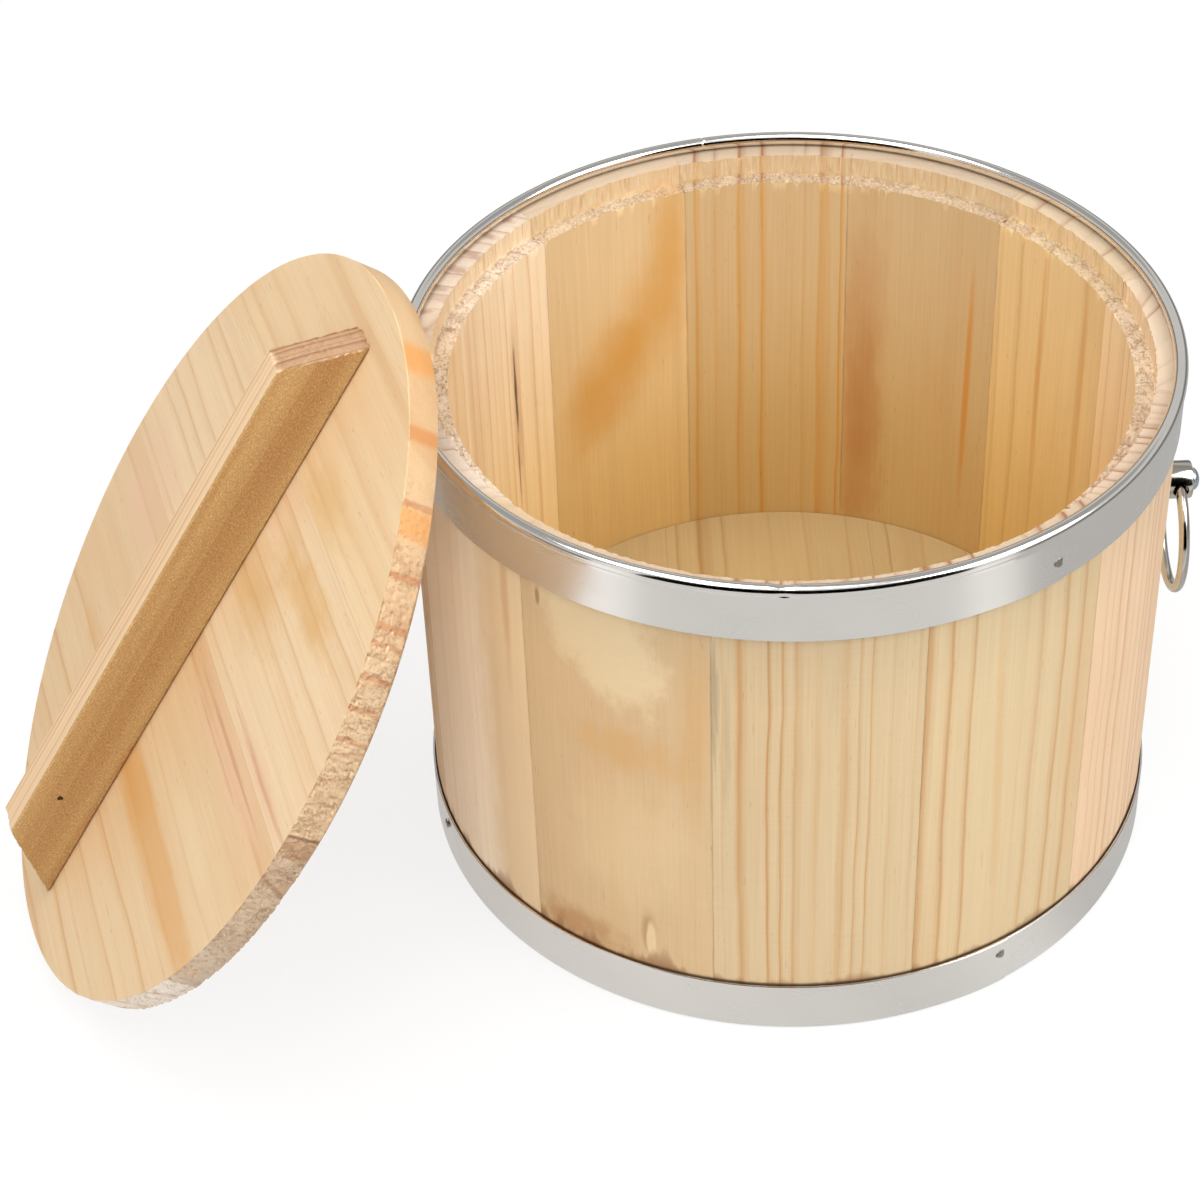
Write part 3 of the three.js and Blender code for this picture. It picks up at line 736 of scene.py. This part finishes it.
# lid, leaning against the tub; face is how high its upper side lies over its rim's foot
lid = dict(
    count=4, radius=114, spigot=107, face=9.1, spigotDepth=4, gap=0.06, bevel=0.25,
    steps=300, across=13, seed=40.7, seedStep=1.9,
    margin=20, bearing=191.3, shift=-3.2, turn=6.4, clearance=0.3,
    beadMiddle=110, beadHeight=166, beadRadius=2.4, grit=0.6, pitDepth=0.55, edgeChip=1.1, calm=(66, 92),
    seeds=dict(grit=101, pits=131, bite=151),
)


def lidPlace():
    # the lid stands on its lower edge and rests on the bead, margin below its upper edge
    p = lid
    reach = 2 * p["radius"] - p["margin"]
    standoff = p["beadRadius"] + p["clearance"] + p["spigotDepth"]
    slope = np.arcsin(p["beadHeight"] / np.hypot(reach, standoff)) + np.arctan2(standoff, reach)
    foot = p["beadMiddle"] + standoff * np.sin(slope) + reach * np.cos(slope)
    spot = Vector((p["shift"], -(foot - p["radius"] * np.cos(slope)), p["radius"] * np.sin(slope)))
    lean = Matrix.Rotation(slope, 4, "X")
    return shifted(tubAxis) @ spun(p["bearing"] + 90) @ shifted(spot) @ lean @ spun(p["turn"])


lidMatrix = lidPlace()
lidAxes = np.array(lidMatrix.to_3x3())
lidMiddle = np.array(lidMatrix.translation)
lidColors = dict(Pale=paint(222, 192, 150), Late=paint(200, 146, 88), Warm=paint(216, 170, 122), Pits=0.75)
rosy, ruddy, ocher = paint(226, 184, 152), paint(182, 118, 74), paint(216, 148, 74)


def rimLine(along, grain, half, share, ragged=0.4):
    # a dark ring line across the sawn rim
    return mark((along, 0, grain), (half, 90, 60), ruddy, share, ragged, 0.6, 0.0, (0.4, 0.4, 0.4))


# from the foot of the lid up; marks are (along the handle, depth, along the grain)
lidLooks = [
    wood((-170, -60), 8.0, 0.6, 0.3, rim=(1.08, 1.3, 1.75, 1)),
    wood((160, -80), 8.0, 0.6, 0.4, rim=(0.74, 0.76, 0.82, 1), rimMarks=[
        mark((-20, 0, 95), (16, 90, 60), paint(206, 186, 166), 0.65, 0.4, 0.8),
    ], marks=[
        mark((-20, 0, 30), (9, 9, 120), paint(212, 158, 92), 0.6, 0.4, 0.5, 0.02),
        mark((-20, 0, 18), (9, 9, 34), amber, 0.3, 0.6, 0.9),
        mark((-3, 0, 66), (9, 9, 40), paint(234, 208, 168), 0.25, 0.5, 0.8),
        mark((21, 0, -76), (15, 9, 44), rosy, 0.6, 0.5, 0.8),
        mark((22, 0, 64), (10, 9, 64), rosy, 0.6, 0.6, 0.9, 0.05),
        mark((24, 0, 58), (1.3, 9, 60), ruddy, 0.45, 0.9, 0.8, 0.05, (1.4, 1.4, 0.05)),
        mark((19, 0, 50), (1.0, 9, 44), ruddy, 0.3, 0.9, 0.8, 0.05, (1.4, 1.4, 0.05)),
    ]),
    wood((-140, -50), 7.0, 0.5, 0.3, Pale=paint(228, 200, 161), rim=(0.82, 0.78, 0.73, 1), rimMarks=[
        rimLine(23.5, 95, 1.0, 0.6),
        rimLine(15.5, 103, 0.8, 0.5),
        rimLine(7.5, 107, 0.9, 0.5),
        mark((-21.5, -4.6, 113), (0.7, 90, 60), paint(120, 82, 56), 0.75, 0.3, 0.6, 0.0, (0.4, 0.4, 0.4)),
        mark((-25.5, 0, 113), (4.0, 90, 60), paint(150, 112, 84), 0.5, 0.4, 0.6),
    ], marks=[
        mark((-24, 0, -80), (10, 9, 38), rosy, 0.5, 0.5, 0.8),
        mark((-25, 0, 84), (6, 9, 42), rosy, 0.55, 0.6, 0.9, 0.05),
        mark((-25, 0, 84), (1.3, 9, 44), ruddy, 0.45, 0.9, 0.8, 0.05, (1.4, 1.4, 0.05)),
        mark((15, 0, 54), (11, 9, 40), paint(210, 160, 90), 0.65, 0.7, 0.9),
        mark((-3, 0, 22), (17, 9, 38), paint(208, 158, 90), 0.55, 0.6, 1.0),
    ]),
    wood((150, -70), 9.0, 0.55, 0.3, Pits=0.7, Pale=paint(229, 200, 158), rim=(0.82, 0.76, 0.7, 1), rimMarks=[
        mark((27, 0, 27), (40, 90, 9.0), ocher, 0.75, 0.2, 0.7),
        mark((20, 0, 53), (40, 90, 3.4), paint(198, 130, 70), 0.75, 0.2, 0.7, 0.0, (0.3, 0.3, 0.3)),
        mark((0, 0, 71), (4.4, 90, 60), ocher, 0.7, 0.3, 0.6),
        rimLine(3.6, 71, 0.9, 0.6, 0.3),
        rimLine(-10.5, 82, 1.1, 0.65),
        rimLine(-21.5, 89, 1.2, 0.65),
        rimLine(-25.5, 91, 0.7, 0.5),
    ], marks=[
        mark((-22, 0, 32), (13, 9, 40), paint(210, 160, 90), 0.5, 0.6, 1.0),
    ]),
]


def roughRim(x, y, z):
    # the sawn edge: grit and pits pushed in along the disc's radius where the fibres end, less at the top
    p, seed = lid, lid["seeds"]
    radius = np.hypot(x, y)
    onRim = easeStep(radius, p["radius"] - 0.2, p["radius"] - 0.02) * easeStep(z, -0.2, 0.1)
    arc = np.arctan2(y, x) * p["radius"]
    endwise = easeStep(np.abs(x) / np.maximum(radius, 1e-6), 0.35, 0.8) * (1 - 0.6 * easeStep(y, *p["calm"]))
    pits = easeStep(softNoise(arc / 1.2, z / 1.1, seed["pits"]), 0.5, 0.85)
    push = onRim * endwise * (p["grit"] * (crumble(arc, z, 0.9, seed["grit"]) - 0.25) - p["pitDepth"] * pits)
    nearFace = easeStep(z, p["face"] - 1.2, p["face"] - 0.05)
    bite = easeStep(softNoise(arc / 1.9, z / 30, seed["bite"]), 0.62, 0.9) * nearFace
    push = push - onRim * endwise * p["edgeChip"] * bite
    scale = 1 + push / np.maximum(radius, 1e-6)
    return x * scale, y * scale, z


def lidFinish(look, b, board, facing, end, color, roughness, height):
    # the sawn rim has its own tone and ring marks, with painted shade in its tint, and is painted darker and
    # greyer towards the lid's underside as shade
    onRim = b.less(b.step(b.math("ABSOLUTE", b.split(facing)[1]), 0.55, 0.8))
    # each board's rim tint: the sawn rim's own tone, with painted shade for the rim's down-facing side
    color = b.tint(color, look["rim"], onRim)
    color = stained(b, board, color, look.get("rimMarks", ()), onRim)
    deep = b.less(b.step(b.split(board)[1], -9.5, -3.0))
    # painted shade on the rim's lower side, towards the lid's underside
    color = b.tint(color, (0.8, 0.78, 0.76, 1), onRim, deep, 0.5)
    return color, roughness, height


def addLid():
    # a disc with a small bevel round its upper side, stepped in to a spigot below
    p = lid
    side = np.linspace(p["face"] - p["bevel"], 0, 20)
    edge = [(p["radius"] - p["bevel"], p["face"]), *[(p["radius"], z) for z in side],
            (p["spigot"], 0), (p["spigot"], -p["spigotDepth"])]
    looks = [lidColors | look for look in lidLooks]
    addDisc("lid", "lid", p, lidMatrix, edge, looks, roughRim, lidFinish)


addLid()

# handle: sizes in mm; foot and top are its lengths, fuzz and tears are depths
handle = dict(
    width=13.2, height=20.6, foot=202.4, top=168.6, lift=0.3, edgeRadius=0.5, steps=260,
    fuzz=0.34, torn=0.5, edgeTear=1.1, seeds=dict(fuzz=7, torn=17, edgeTear=27),
)
handleLook = wood(
    (-110, 6), 3.0, 1.0, 0.2, Wander=2.0, Seed=61.3, Pits=0.45,
    Pale=paint(230, 198, 158), Late=paint(204, 154, 106), Warm=paint(222, 180, 134),
)


def handleShape():
    # a bevelled rectangle carried along the bar, its ends sloping in; noise tears the sides and ends
    h, seed = handle, handle["seeds"]
    half, tall, bevel = h["width"] / 2, h["height"], h["edgeRadius"]
    corners = [(-half, bevel), (-half, tall - bevel), (-half + bevel, tall), (half - bevel, tall),
               (half, tall - bevel), (half, bevel), (half - bevel, 0), (-half + bevel, 0), (-half, bevel)]
    loop = divided(corners, [28, 2, 12, 2, 28, 2, 12, 2])
    share = np.linspace(-1, 1, h["steps"])
    x, z = loop[:, :1] + 0 * share, loop[:, 1:] + 0 * share
    length = h["foot"] / 2 + (h["top"] - h["foot"]) / 2 * z / tall
    tear = softNoise(loop[:, :1] / 0.9 + 20, loop[:, 1:] / 0.9 + 20, seed["edgeTear"])
    ragged = h["edgeTear"] * easeStep(tear, 0.35, 1)
    y = share[None, :] * length - np.sign(share) * ragged * easeStep(np.abs(share), 0.97, 1)
    onSide = easeStep(np.abs(x), half - bevel, half - 0.05)
    x = x + np.sign(x) * onSide * h["fuzz"] * (crumble(y, z + 40 * (x > 0), 1.0, seed["fuzz"]) - 0.2)
    bar = np.stack([x, y, z], -1)
    grids = [bar]
    for side, column in ((-1, 0), (1, -1)):
        shrink = np.linspace(1, 0, 15)[:, None]
        cx = shrink * bar[None, :, column, 0]
        cz = tall / 2 + shrink * (loop[None, :, 1] - tall / 2)
        cy = side * (h["foot"] / 2 + (h["top"] - h["foot"]) / 2 * cz / tall)
        sunk = h["torn"] * np.abs(crumble(cx, cz, 1.3, seed["torn"]))
        pulled = np.where(shrink < 1, sunk, ragged[None, :, 0])
        grids.append(np.stack([cx, cy - side * pulled, cz], -1))
    base = np.array([0, 0, lid["face"] + h["lift"]])
    return gridMesh("lidHandleBar", [moved(grid + base, lidMatrix) for grid in grids])


def handleFinish(look, b, board, facing, end, color, roughness, height):
    # the two broad sides are rough sawn: brown, fuzzy, with long darker bands, the brown partly painted
    # shade; the top stays clean
    side = b.times(b.step(b.math("ABSOLUTE", b.split(facing)[0]), 0.45, 0.75), b.less(end))
    bands = b.noise(board, (0.02, 0.13, 0.004), 2.0, 0.5)
    fuzz = b.noise(board, (2.6, 2.6, 1.3), 4.0, 0.72)
    sawn = b.blend(b.step(bands, 0.35, 0.65), paint(190, 152, 99), paint(178, 136, 85))
    up = b.scaled(bands, 2.0, b.split(board)[1])
    strip = b.times(b.step(up, 2.0, 10.5), b.less(b.step(up, 12.3, 12.9)))
    sawn = b.over(sawn, paint(168, 122, 72), strip, 0.6)
    sawn = b.vector("SCALE", sawn, b.times(fuzz, 2.0))
    sawn = b.over(sawn, paint(222, 184, 130), b.step(fuzz, 0.56, 0.72), 0.35)
    color = b.over(color, sawn, side)
    # the sloping ends are tinted darker: their end-grain tone, with painted shade against the top light
    color = b.tint(color, (0.57, 0.47, 0.4, 1), end)
    height = b.scaled(b.times(side, fuzz), 1.6, height)
    return color, b.scaled(side, 0.3, roughness), height


def addHandle():
    turn = np.array([lidAxes[:, 0], lidAxes[:, 2], lidAxes[:, 1]])
    turn[0] *= np.linalg.det(turn)
    middle = lidMiddle + lidAxes[:, 2] * (lid["face"] + handle["lift"])
    material = woodMaterial("handle_pine", turn.tolist(), middle, handleLook, handleFinish)
    dress(handleShape(), "lid_handle", "lid", material)


addHandle()
print("lid built")

# hoops: the top one is rolled over a bead; laps, seam and nick are bearings, dips are (share, half width)
hoop = dict(
    inside=111.3, outside=112.0, topLow=150, beadMiddle=110.45, beadHeight=166.1, beadRadius=1.95,
    bottomLow=0.5, bottomHigh=17.5, edge=0.2, topLap=306.2, bottomLap=301.2, lapRise=0.3, seam=100, nick=265,
    lapRun=(14, 3), lapDrop=0.12, lapFade=4, seamDip=(0.1, 0.16), nickDip=(0.2, 1.2),
)


def hoopBearings(*spots):
    # every degree, and closer near the places where the strip changes
    near = [spot + np.linspace(-2, 2, 41) for spot in spots]
    return np.unique(np.concatenate([np.linspace(0, 360, 361), *near]))


def runOf(profile, bearings, radius):
    # length along the strip and across its section, in mm
    across = np.concatenate([[0], np.cumsum(np.hypot(*np.diff(profile, axis=0).T))])
    return np.stack(np.meshgrid(np.radians(bearings) * radius, across), -1)


def lapped(grid, bearings, lap, outer):
    # the outer side swells over the strip's hidden end, then drops at its free end
    early, late = hoop["lapRun"]
    drop = easeStep(bearings, lap, lap + hoop["lapDrop"])
    swell = hoop["lapRise"] * easeStep(bearings, lap - early, lap - late) * (1 - drop)
    angle = np.radians(bearings)
    outwards = np.stack([np.cos(angle), np.sin(angle), 0 * angle], -1)
    return grid + outer[:, None, None] * swell[None, :, None] * outwards[None]


def stripEnd(at, bevel):
    # the four corners of a strip's upper or lower edge, from the inside out
    inside, outside, edge = hoop["inside"], hoop["outside"], hoop["edge"]
    return [(inside, at + bevel), (inside + edge, at), (outside - edge, at), (outside, at + bevel)]


def onOutside(profile):
    # the points of a strip's section that lie on its outer side
    return profile[:, 0] > hoop["outside"] - hoop["edge"] - 0.01


def addStrip(name, node, profile, bearings, grid):
    # one hoop from its finished grid, with its run as the UV map
    run = runOf(profile, bearings, hoop["outside"])
    piece = gridMesh(name, [grid + tubAxis], uvs=[run], smoothAngle=30)
    dress(piece, node, "tub", hoopSteel)


def addTopHoop():
    # a flat strip that runs up into a round bead, turned round the tub
    h = hoop
    beadSpot = [h["beadMiddle"], h["beadHeight"]]
    bandSide = lambda radius: np.arcsin((radius - h["beadMiddle"]) / h["beadRadius"])
    start = bandSide(h["outside"]) - np.pi / 2
    sweep = 2 * np.pi - (bandSide(h["outside"]) - bandSide(h["inside"]))
    angle = start + sweep * np.linspace(0, 1, 49)
    bead = np.stack([np.cos(angle), np.sin(angle)], -1) * h["beadRadius"] + beadSpot
    band = divided([*stripEnd(h["topLow"], h["edge"]), bead[0]], [1, 2, 1, 12])
    profile = np.vstack([band, bead[1:], band[:1]])
    bearings = hoopBearings(h["topLap"], h["seam"], h["nick"])
    isBead = np.arange(len(profile)) >= len(band)
    isBead[-1] = False
    underBead = easeStep(-profile[:, 1], -h["beadHeight"], -h["beadHeight"] + h["lapFade"])
    outer = (onOutside(profile) & ~isBead) * underBead
    grid = lapped(turned(profile, bearings), bearings, h["topLap"], outer)
    # the bead's section shrinks a little at its butt seam and is dented at the nick
    dip = lambda spot, deep, wide: deep * np.exp(-((bearings - spot) / wide) ** 2)
    pinch = dip(h["seam"], *h["seamDip"]) + dip(h["nick"], *h["nickDip"])
    core = turned(np.tile([beadSpot], (len(profile), 1)), bearings)
    grid = np.where(isBead[:, None, None], core + (grid - core) * (1 - pinch)[None, :, None], grid)
    addStrip("topHoopRolled", "top_hoop", profile, bearings, grid)


def addBottomHoop():
    # a flat strip with bevelled edges, turned round the tub
    h = hoop
    foot, head = stripEnd(h["bottomLow"], h["edge"]), stripEnd(h["bottomHigh"], -h["edge"])
    profile = divided([*foot, *head[::-1], foot[0]], [1, 2, 1, 12, 1, 2, 1, 4])
    bearings = hoopBearings(h["bottomLap"])
    grid = lapped(turned(profile, bearings), bearings, h["bottomLap"], onOutside(profile))
    addStrip("bottomHoopStrip", "bottom_hoop", profile, bearings, grid)


addTopHoop()
addBottomHoop()

# hoop nails: sizes in mm, top and bottom are bearings; wave is a share of the head's radius
nail = dict(
    top=(305, 65, 185), topHeight=156.65, bottom=(300, 197, 68), bottomHeight=12.3,
    radius=0.7, length=9, headRadius=1.5, headHeight=0.6, lift=0.3,
    crush=0.45, wave=0.14, crumple=0.8, seed=201,
)


def outward(bearing, radius, height):
    # turns a piece made along +Z so that it points out from the tub's side
    return shifted(tubAxis) @ spun(bearing) @ shifted((radius, 0, height)) @ spun(90, "Y")


def pin(p, length, shank, steps):
    # a shank with a cone for a point, under a domed head: (radius, height) pairs with the head's foot at zero
    rise = np.linspace(0, np.pi / 2, steps)
    dome = np.stack([p["headRadius"] * np.cos(rise), p["headHeight"] * np.sin(rise)], -1)
    dome[-1, 0] = 0
    return np.vstack([[(0, -length), (shank, 2 * shank - length), (shank, 0)], dome])


def addHoopNails():
    # a pin whose head is hammered out of round and crumpled
    n = nail
    profile = pin(n, n["length"], n["radius"], 9)
    around = np.linspace(0, 360, 33)
    isHead = (profile[:, 1] >= 0) & (profile[:, 0] > n["radius"] + 0.01)
    seats = [("top", i, bearing, n["topHeight"]) for i, bearing in enumerate(n["top"])]
    seats += [("bottom", i, bearing, n["bottomHeight"]) for i, bearing in enumerate(n["bottom"])]
    for which, i, bearing, height in seats:
        shape = turned(profile, around)
        wave = 1 + n["wave"] * np.sin(np.radians(around) * 3 + 2 * i)[None, :, None] * isHead[:, None, None]
        shape[..., :2] *= wave
        x, y = shape[..., 0] / n["crumple"] + 9, shape[..., 1] / n["crumple"] + 9
        dent = softNoise(x, y, n["seed"] + 7 * i + len(which))
        shape[..., 2] -= n["crush"] * dent * (profile[:, 1] > 0.05)[:, None] * np.minimum(profile[:, 1:], 1)
        place = outward(bearing, hoop["outside"] + n["lift"], height)
        piece = gridMesh(f"{which}HoopNail{i + 1}", [moved(shape, place)])
        dress(piece, f"{which}_hoop_nail_{i + 1}", "tub", nailSteel)


addHoopNails()
print("hoops and nails on")

# ring pulls: sizes in mm; feet lie out from the tub's axis, stray is how far the wire's curve leaves its axis
pull = dict(
    height=110.4, washerFoot=111.3, washerRadius=7, washerThickness=0.8,
    postFoot=112.4, postRadius=5.7, postLength=7.6, postChamfer=0.6, screwRadius=1.7, screwReach=10,
    headRadius=3.5, headHeight=2.2, gap=0.3, edge=0.2,
    wireRadius=1.6, ringRadius=18.4, endGap=0.6, stray=0.486, play=0.3, rodHalf=20,
)


def bored(piece, cutter):
    # takes the cutter's shape out of the piece and leaves a plain mesh
    cut = piece.modifiers.new("cut", "BOOLEAN")
    cut.object, cut.operation, cut.solver = cutter, "DIFFERENCE", "EXACT"
    bpy.context.view_layer.update()
    solid = bpy.data.meshes.new_from_object(piece.evaluated_get(bpy.context.evaluated_depsgraph_get()))
    piece.modifiers.clear()
    piece.data = solid
    bpy.data.objects.remove(cutter)
    solid.shade_smooth()
    solid.set_sharp_from_angle(angle=np.radians(32))
    return piece


def addPull(side, bearing):
    # washer, post and screw are turned profiles pointing outwards; a rod is cut out of the post for the ring
    p = pull
    around = np.linspace(0, 360, 65)
    bore, edge = p["screwRadius"] + p["gap"], p["edge"]

    def lathe(name, profile, foot):
        place = outward(bearing, foot, p["height"])
        return gridMesh(f"{side}Pull{name}", [moved(turned(profile, around), place)])

    wide, thick = p["washerRadius"], p["washerThickness"]
    washer = np.array([(bore, 0), (wide - edge, 0), (wide, edge), (wide, thick - edge), (wide - edge, thick),
                       (bore, thick), (bore, 0)])
    piece = lathe("Washer", washer, p["washerFoot"])
    dress(piece, f"{side}_washer", "tub", pullNickel)

    long, wide, cut = p["postLength"], p["postRadius"], p["postChamfer"]
    stud = np.array([(bore, 0), (wide - edge, 0), (wide, edge), (wide, long - cut),
                     (wide - cut * 0.3, long - cut * 0.3), (wide - cut, long), (bore, long), (bore, 0)])
    hole, far = p["wireRadius"] + p["stray"] + p["play"], p["rodHalf"]
    rod = np.array([(0, -far), (hole, -far), (hole, far), (0, far)])
    across = outward(bearing, p["postFoot"], p["height"]) @ shifted((0, 0, long / 2)) @ spun(90, "X")
    piece = lathe("Post", stud, p["postFoot"])
    cutter = gridMesh("crossHole", [moved(turned(rod, around), across)])
    dress(bored(piece, cutter), f"{side}_post", "tub", pullNickel)

    headFoot = p["postFoot"] + long + p["gap"]
    screw = pin(p, headFoot - (stave["outside"] - p["screwReach"]), p["screwRadius"], 12)
    piece = lathe("Screw", screw, headFoot)
    dress(piece, f"{side}_screw", "tub", screwZinc)

    # the wire's circle carried round the open ring
    middle = p["postFoot"] + long / 2
    opening = np.arcsin((p["screwRadius"] + p["endGap"]) / p["ringRadius"])
    sweep = np.linspace(opening, 2 * np.pi - opening, 161)[None, :]
    wire = np.linspace(0, 2 * np.pi, 29)[:, None]
    radius = p["ringRadius"] + p["wireRadius"] * np.cos(wire)
    drop = p["height"] + p["stray"] - p["ringRadius"]
    outer = middle + p["wireRadius"] * np.sin(wire) + 0 * sweep
    ring = np.stack([outer, radius * np.sin(sweep), drop + radius * np.cos(sweep)], -1)
    grid = moved(ring, shifted(tubAxis) @ spun(bearing))
    piece = gridMesh(f"{side}PullRing", [grid], caps=[(0, 0), (0, -1)])
    dress(piece, f"{side}_ring", f"{side}_ring", pullNickel)


addPull("right", 0)
addPull("left", 180)
print("ring pulls hung")

# slant is degrees up from the lid's face, place is along the bar, in mm
handleNail = dict(place=68, height=13.1, slant=60, radius=0.8, bite=8)


def addHandleNails():
    # a headless pin turned round its axis, driven slantwise through the bar's side
    h = handleNail
    slant, wide = np.radians(h["slant"]), h["radius"]
    length = h["height"] / np.sin(slant) + h["bite"]
    profile = np.array([(0, -length), (wide, -length), (wide, -0.25), (wide - 0.2, -0.05), (0, 0)])
    shape = turned(profile, np.linspace(0, 360, 25))
    for i, side in enumerate((1, -1)):
        up = lid["face"] + handle["lift"] + h["height"]
        entry = Vector((side * handle["width"] / 2, -side * h["place"], up))
        outwards = Vector((side * np.cos(slant), 0, np.sin(slant)))
        turn = Vector((0, 0, 1)).rotation_difference(outwards).to_matrix().to_4x4()
        piece = gridMesh(f"handleNail{i + 1}", [moved(shape, lidMatrix @ shifted(entry) @ turn)])
        dress(piece, f"handle_nail_{i + 1}", "lid", nailDark)


addHandleNails()

# floor, background and light: sizes in metres; pools and edges are bearings of painted pools of light and
# painted shade on the floor, seen only in the metal
studio = dict(
    floorHalf=3.0, floorWhite=0.86, lift=0.8, skyLight=0.5, lampAim=0.08,
    frontDim=0.52, backDim=0.29, poolGlow=0.93, footGlow=0.14, footReach=(0.15, 0.21),
    footLeft=(-135, -60), footRight=(-75, -52),
    leftPool=(-149, -146, -138, -127), rightPool=(-54, -47, -41, -35), frontEdge=(-54, -36),
)
# screens: glowing sheets that paint dark and grey reflections into the metal; shade is how strongly each
# glows
screens = [
    dict(name="darkScreen", bearings=(228, 312), radius=1.4, low=0.0, high=1.5, shade=0.0),
    dict(name="lowScreen", bearings=(-35, 215), radius=1.6, low=0.0, high=0.6, shade=0.2),
    dict(name="midScreen", bearings=(-35, 215), radius=1.6, low=0.6, high=1.5, shade=0.6),
    dict(name="highScreen", bearings=(-35, 215), radius=1.6, low=1.5, high=4.0, shade=0.36),
    dict(name="ceilingScreen", bearings=(-50, 230), radius=0.35, low=3.0, high=3.0, shade=0.4, reach=2.6),
]


def seenRays(b):
    # camera, mirror and see-through rays meet the pale background; light for the matte surfaces doesn't
    path = b.put("ShaderNodeLightPath").outputs
    mirrored = b.math("MAXIMUM", path["Is Glossy Ray"], path["Is Transmission Ray"])
    return b.math("MAXIMUM", path["Is Camera Ray"], mirrored), path["Is Camera Ray"]


def addGround():
    # a flat square sheet, white to the camera; in the metal it shows painted pools of light and painted shade
    # that follow the bearing from the tub
    s = studio
    span = np.linspace(-s["floorHalf"], s["floorHalf"], 5) / mm
    grid = np.stack([*np.meshgrid(span, span, indexing="ij"), np.zeros((5, 5))], -1)
    ground = gridMesh("ground", [grid])
    material, b = newMaterial("ground_white")
    seen, direct = seenRays(b)
    coords = b.put("ShaderNodeTexCoord").outputs["Object"]
    x, y, _ = b.split(b.vector("SUBTRACT", coords, tuple(tubAxis * mm)))
    bearing = b.math("DEGREES", b.math("ARCTAN2", y, x))
    front = b.less(b.step(bearing, *s["frontEdge"]))
    far = b.step(b.vector("LENGTH", b.join(x, y, 0.0), out="Value"), *s["footReach"])
    # painted reflection: the floor glows dimmer in front and behind, brighter beside the foot and in two
    # pools, only in what the metal mirrors
    glow = b.scaled(front, s["frontDim"] - s["backDim"], s["backDim"])
    beside = b.math("ADD", b.less(b.step(bearing, *s["footLeft"])), b.step(bearing, *s["footRight"]))
    glow = b.scaled(b.times(b.less(far), beside), s["footGlow"], glow)
    for start, full, ebb, gone in (s["leftPool"], s["rightPool"]):
        pool = b.times(b.step(bearing, start, full), b.less(b.step(bearing, ebb, gone)))
        glow = b.scaled(b.times(pool, far), s["poolGlow"] - s["frontDim"], glow)
    white = (s["floorWhite"], s["floorWhite"], s["floorWhite"], 1)
    matte = b.put("ShaderNodeBsdfDiffuse", {"Color": white}).outputs[0]
    backdropAndPaintedPools = b.glow(b.math("MAXIMUM", direct, glow)).outputs[0]
    b.surface(b.put("ShaderNodeMixShader", {0: b.times(seen, s["lift"]), 1: matte, 2: backdropAndPaintedPools}))
    ground.data.materials.append(material)
    ground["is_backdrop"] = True


def addWorld():
    world = bpy.data.worlds.new("studio")
    bpy.context.scene.world = world
    world.use_nodes = True
    world.node_tree.nodes.clear()
    b = Bench(world.node_tree)
    seen, _ = seenRays(b)
    sky = studio["skyLight"]
    back = b.put("ShaderNodeBackground", {"Strength": b.scaled(seen, 1 - sky, sky)})
    b.put("ShaderNodeOutputWorld", {"Surface": back.outputs[0]})


def addScreens():
    # curved glowing screens round the tub and above it, seen only as reflections in the metal: painted
    # reflections of darker surroundings
    for screen in screens:
        far = screen.get("reach", screen["radius"])
        profile = np.array([(screen["radius"], screen["low"]), (far, screen["high"])]) / mm
        sheet = gridMesh(screen["name"], [turned(profile, np.linspace(*screen["bearings"], 31), tubAxis)])
        material, b = newMaterial(screen["name"])
        b.surface(b.glow(screen["shade"]))
        sheet.data.materials.append(material)
        sheet.visible_camera = sheet.visible_diffuse = sheet.visible_shadow = False
        sheet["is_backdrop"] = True


lamps = [
    dict(name="leftSoftbox", bearing=250, rise=42, distance=1.35, size=0.9, power=6.2, mirrored=False),
    dict(name="rightSoftbox", bearing=334, rise=46, distance=1.35, size=0.8, power=9),
    dict(name="topSoftbox", bearing=215, rise=74, distance=1.5, size=1.0, power=13.5),
    dict(name="backSoftbox", bearing=78, rise=46, distance=1.4, size=1.0, power=4, mirrored=False),
]


def addLamps():
    for lamp in lamps:
        light = bpy.data.lights.new(lamp["name"], "AREA")
        light.shape, light.size, light.energy = "SQUARE", lamp["size"], lamp["power"]
        source = bpy.data.objects.new(lamp["name"], light)
        turn, rise = np.radians(lamp["bearing"]), np.radians(lamp["rise"])
        toLamp = Vector((np.cos(rise) * np.cos(turn), np.cos(rise) * np.sin(turn), np.sin(rise)))
        spot = Vector(tubAxis * mm) + Vector((0, 0, studio["lampAim"])) + toLamp * lamp["distance"]
        source.matrix_world = shifted(spot) @ (-toLamp).to_track_quat("-Z", "Y").to_matrix().to_4x4()
        source.visible_glossy = lamp.get("mirrored", True)
        bpy.context.scene.collection.objects.link(source)


addGround()
addWorld()
addScreens()
addLamps()
bpy.context.scene.view_settings.view_transform = "Standard"
print("studio lit")

sizes = {"cad": [list(corner) for corner in cadBox], "visual": [list(corner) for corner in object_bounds()]}
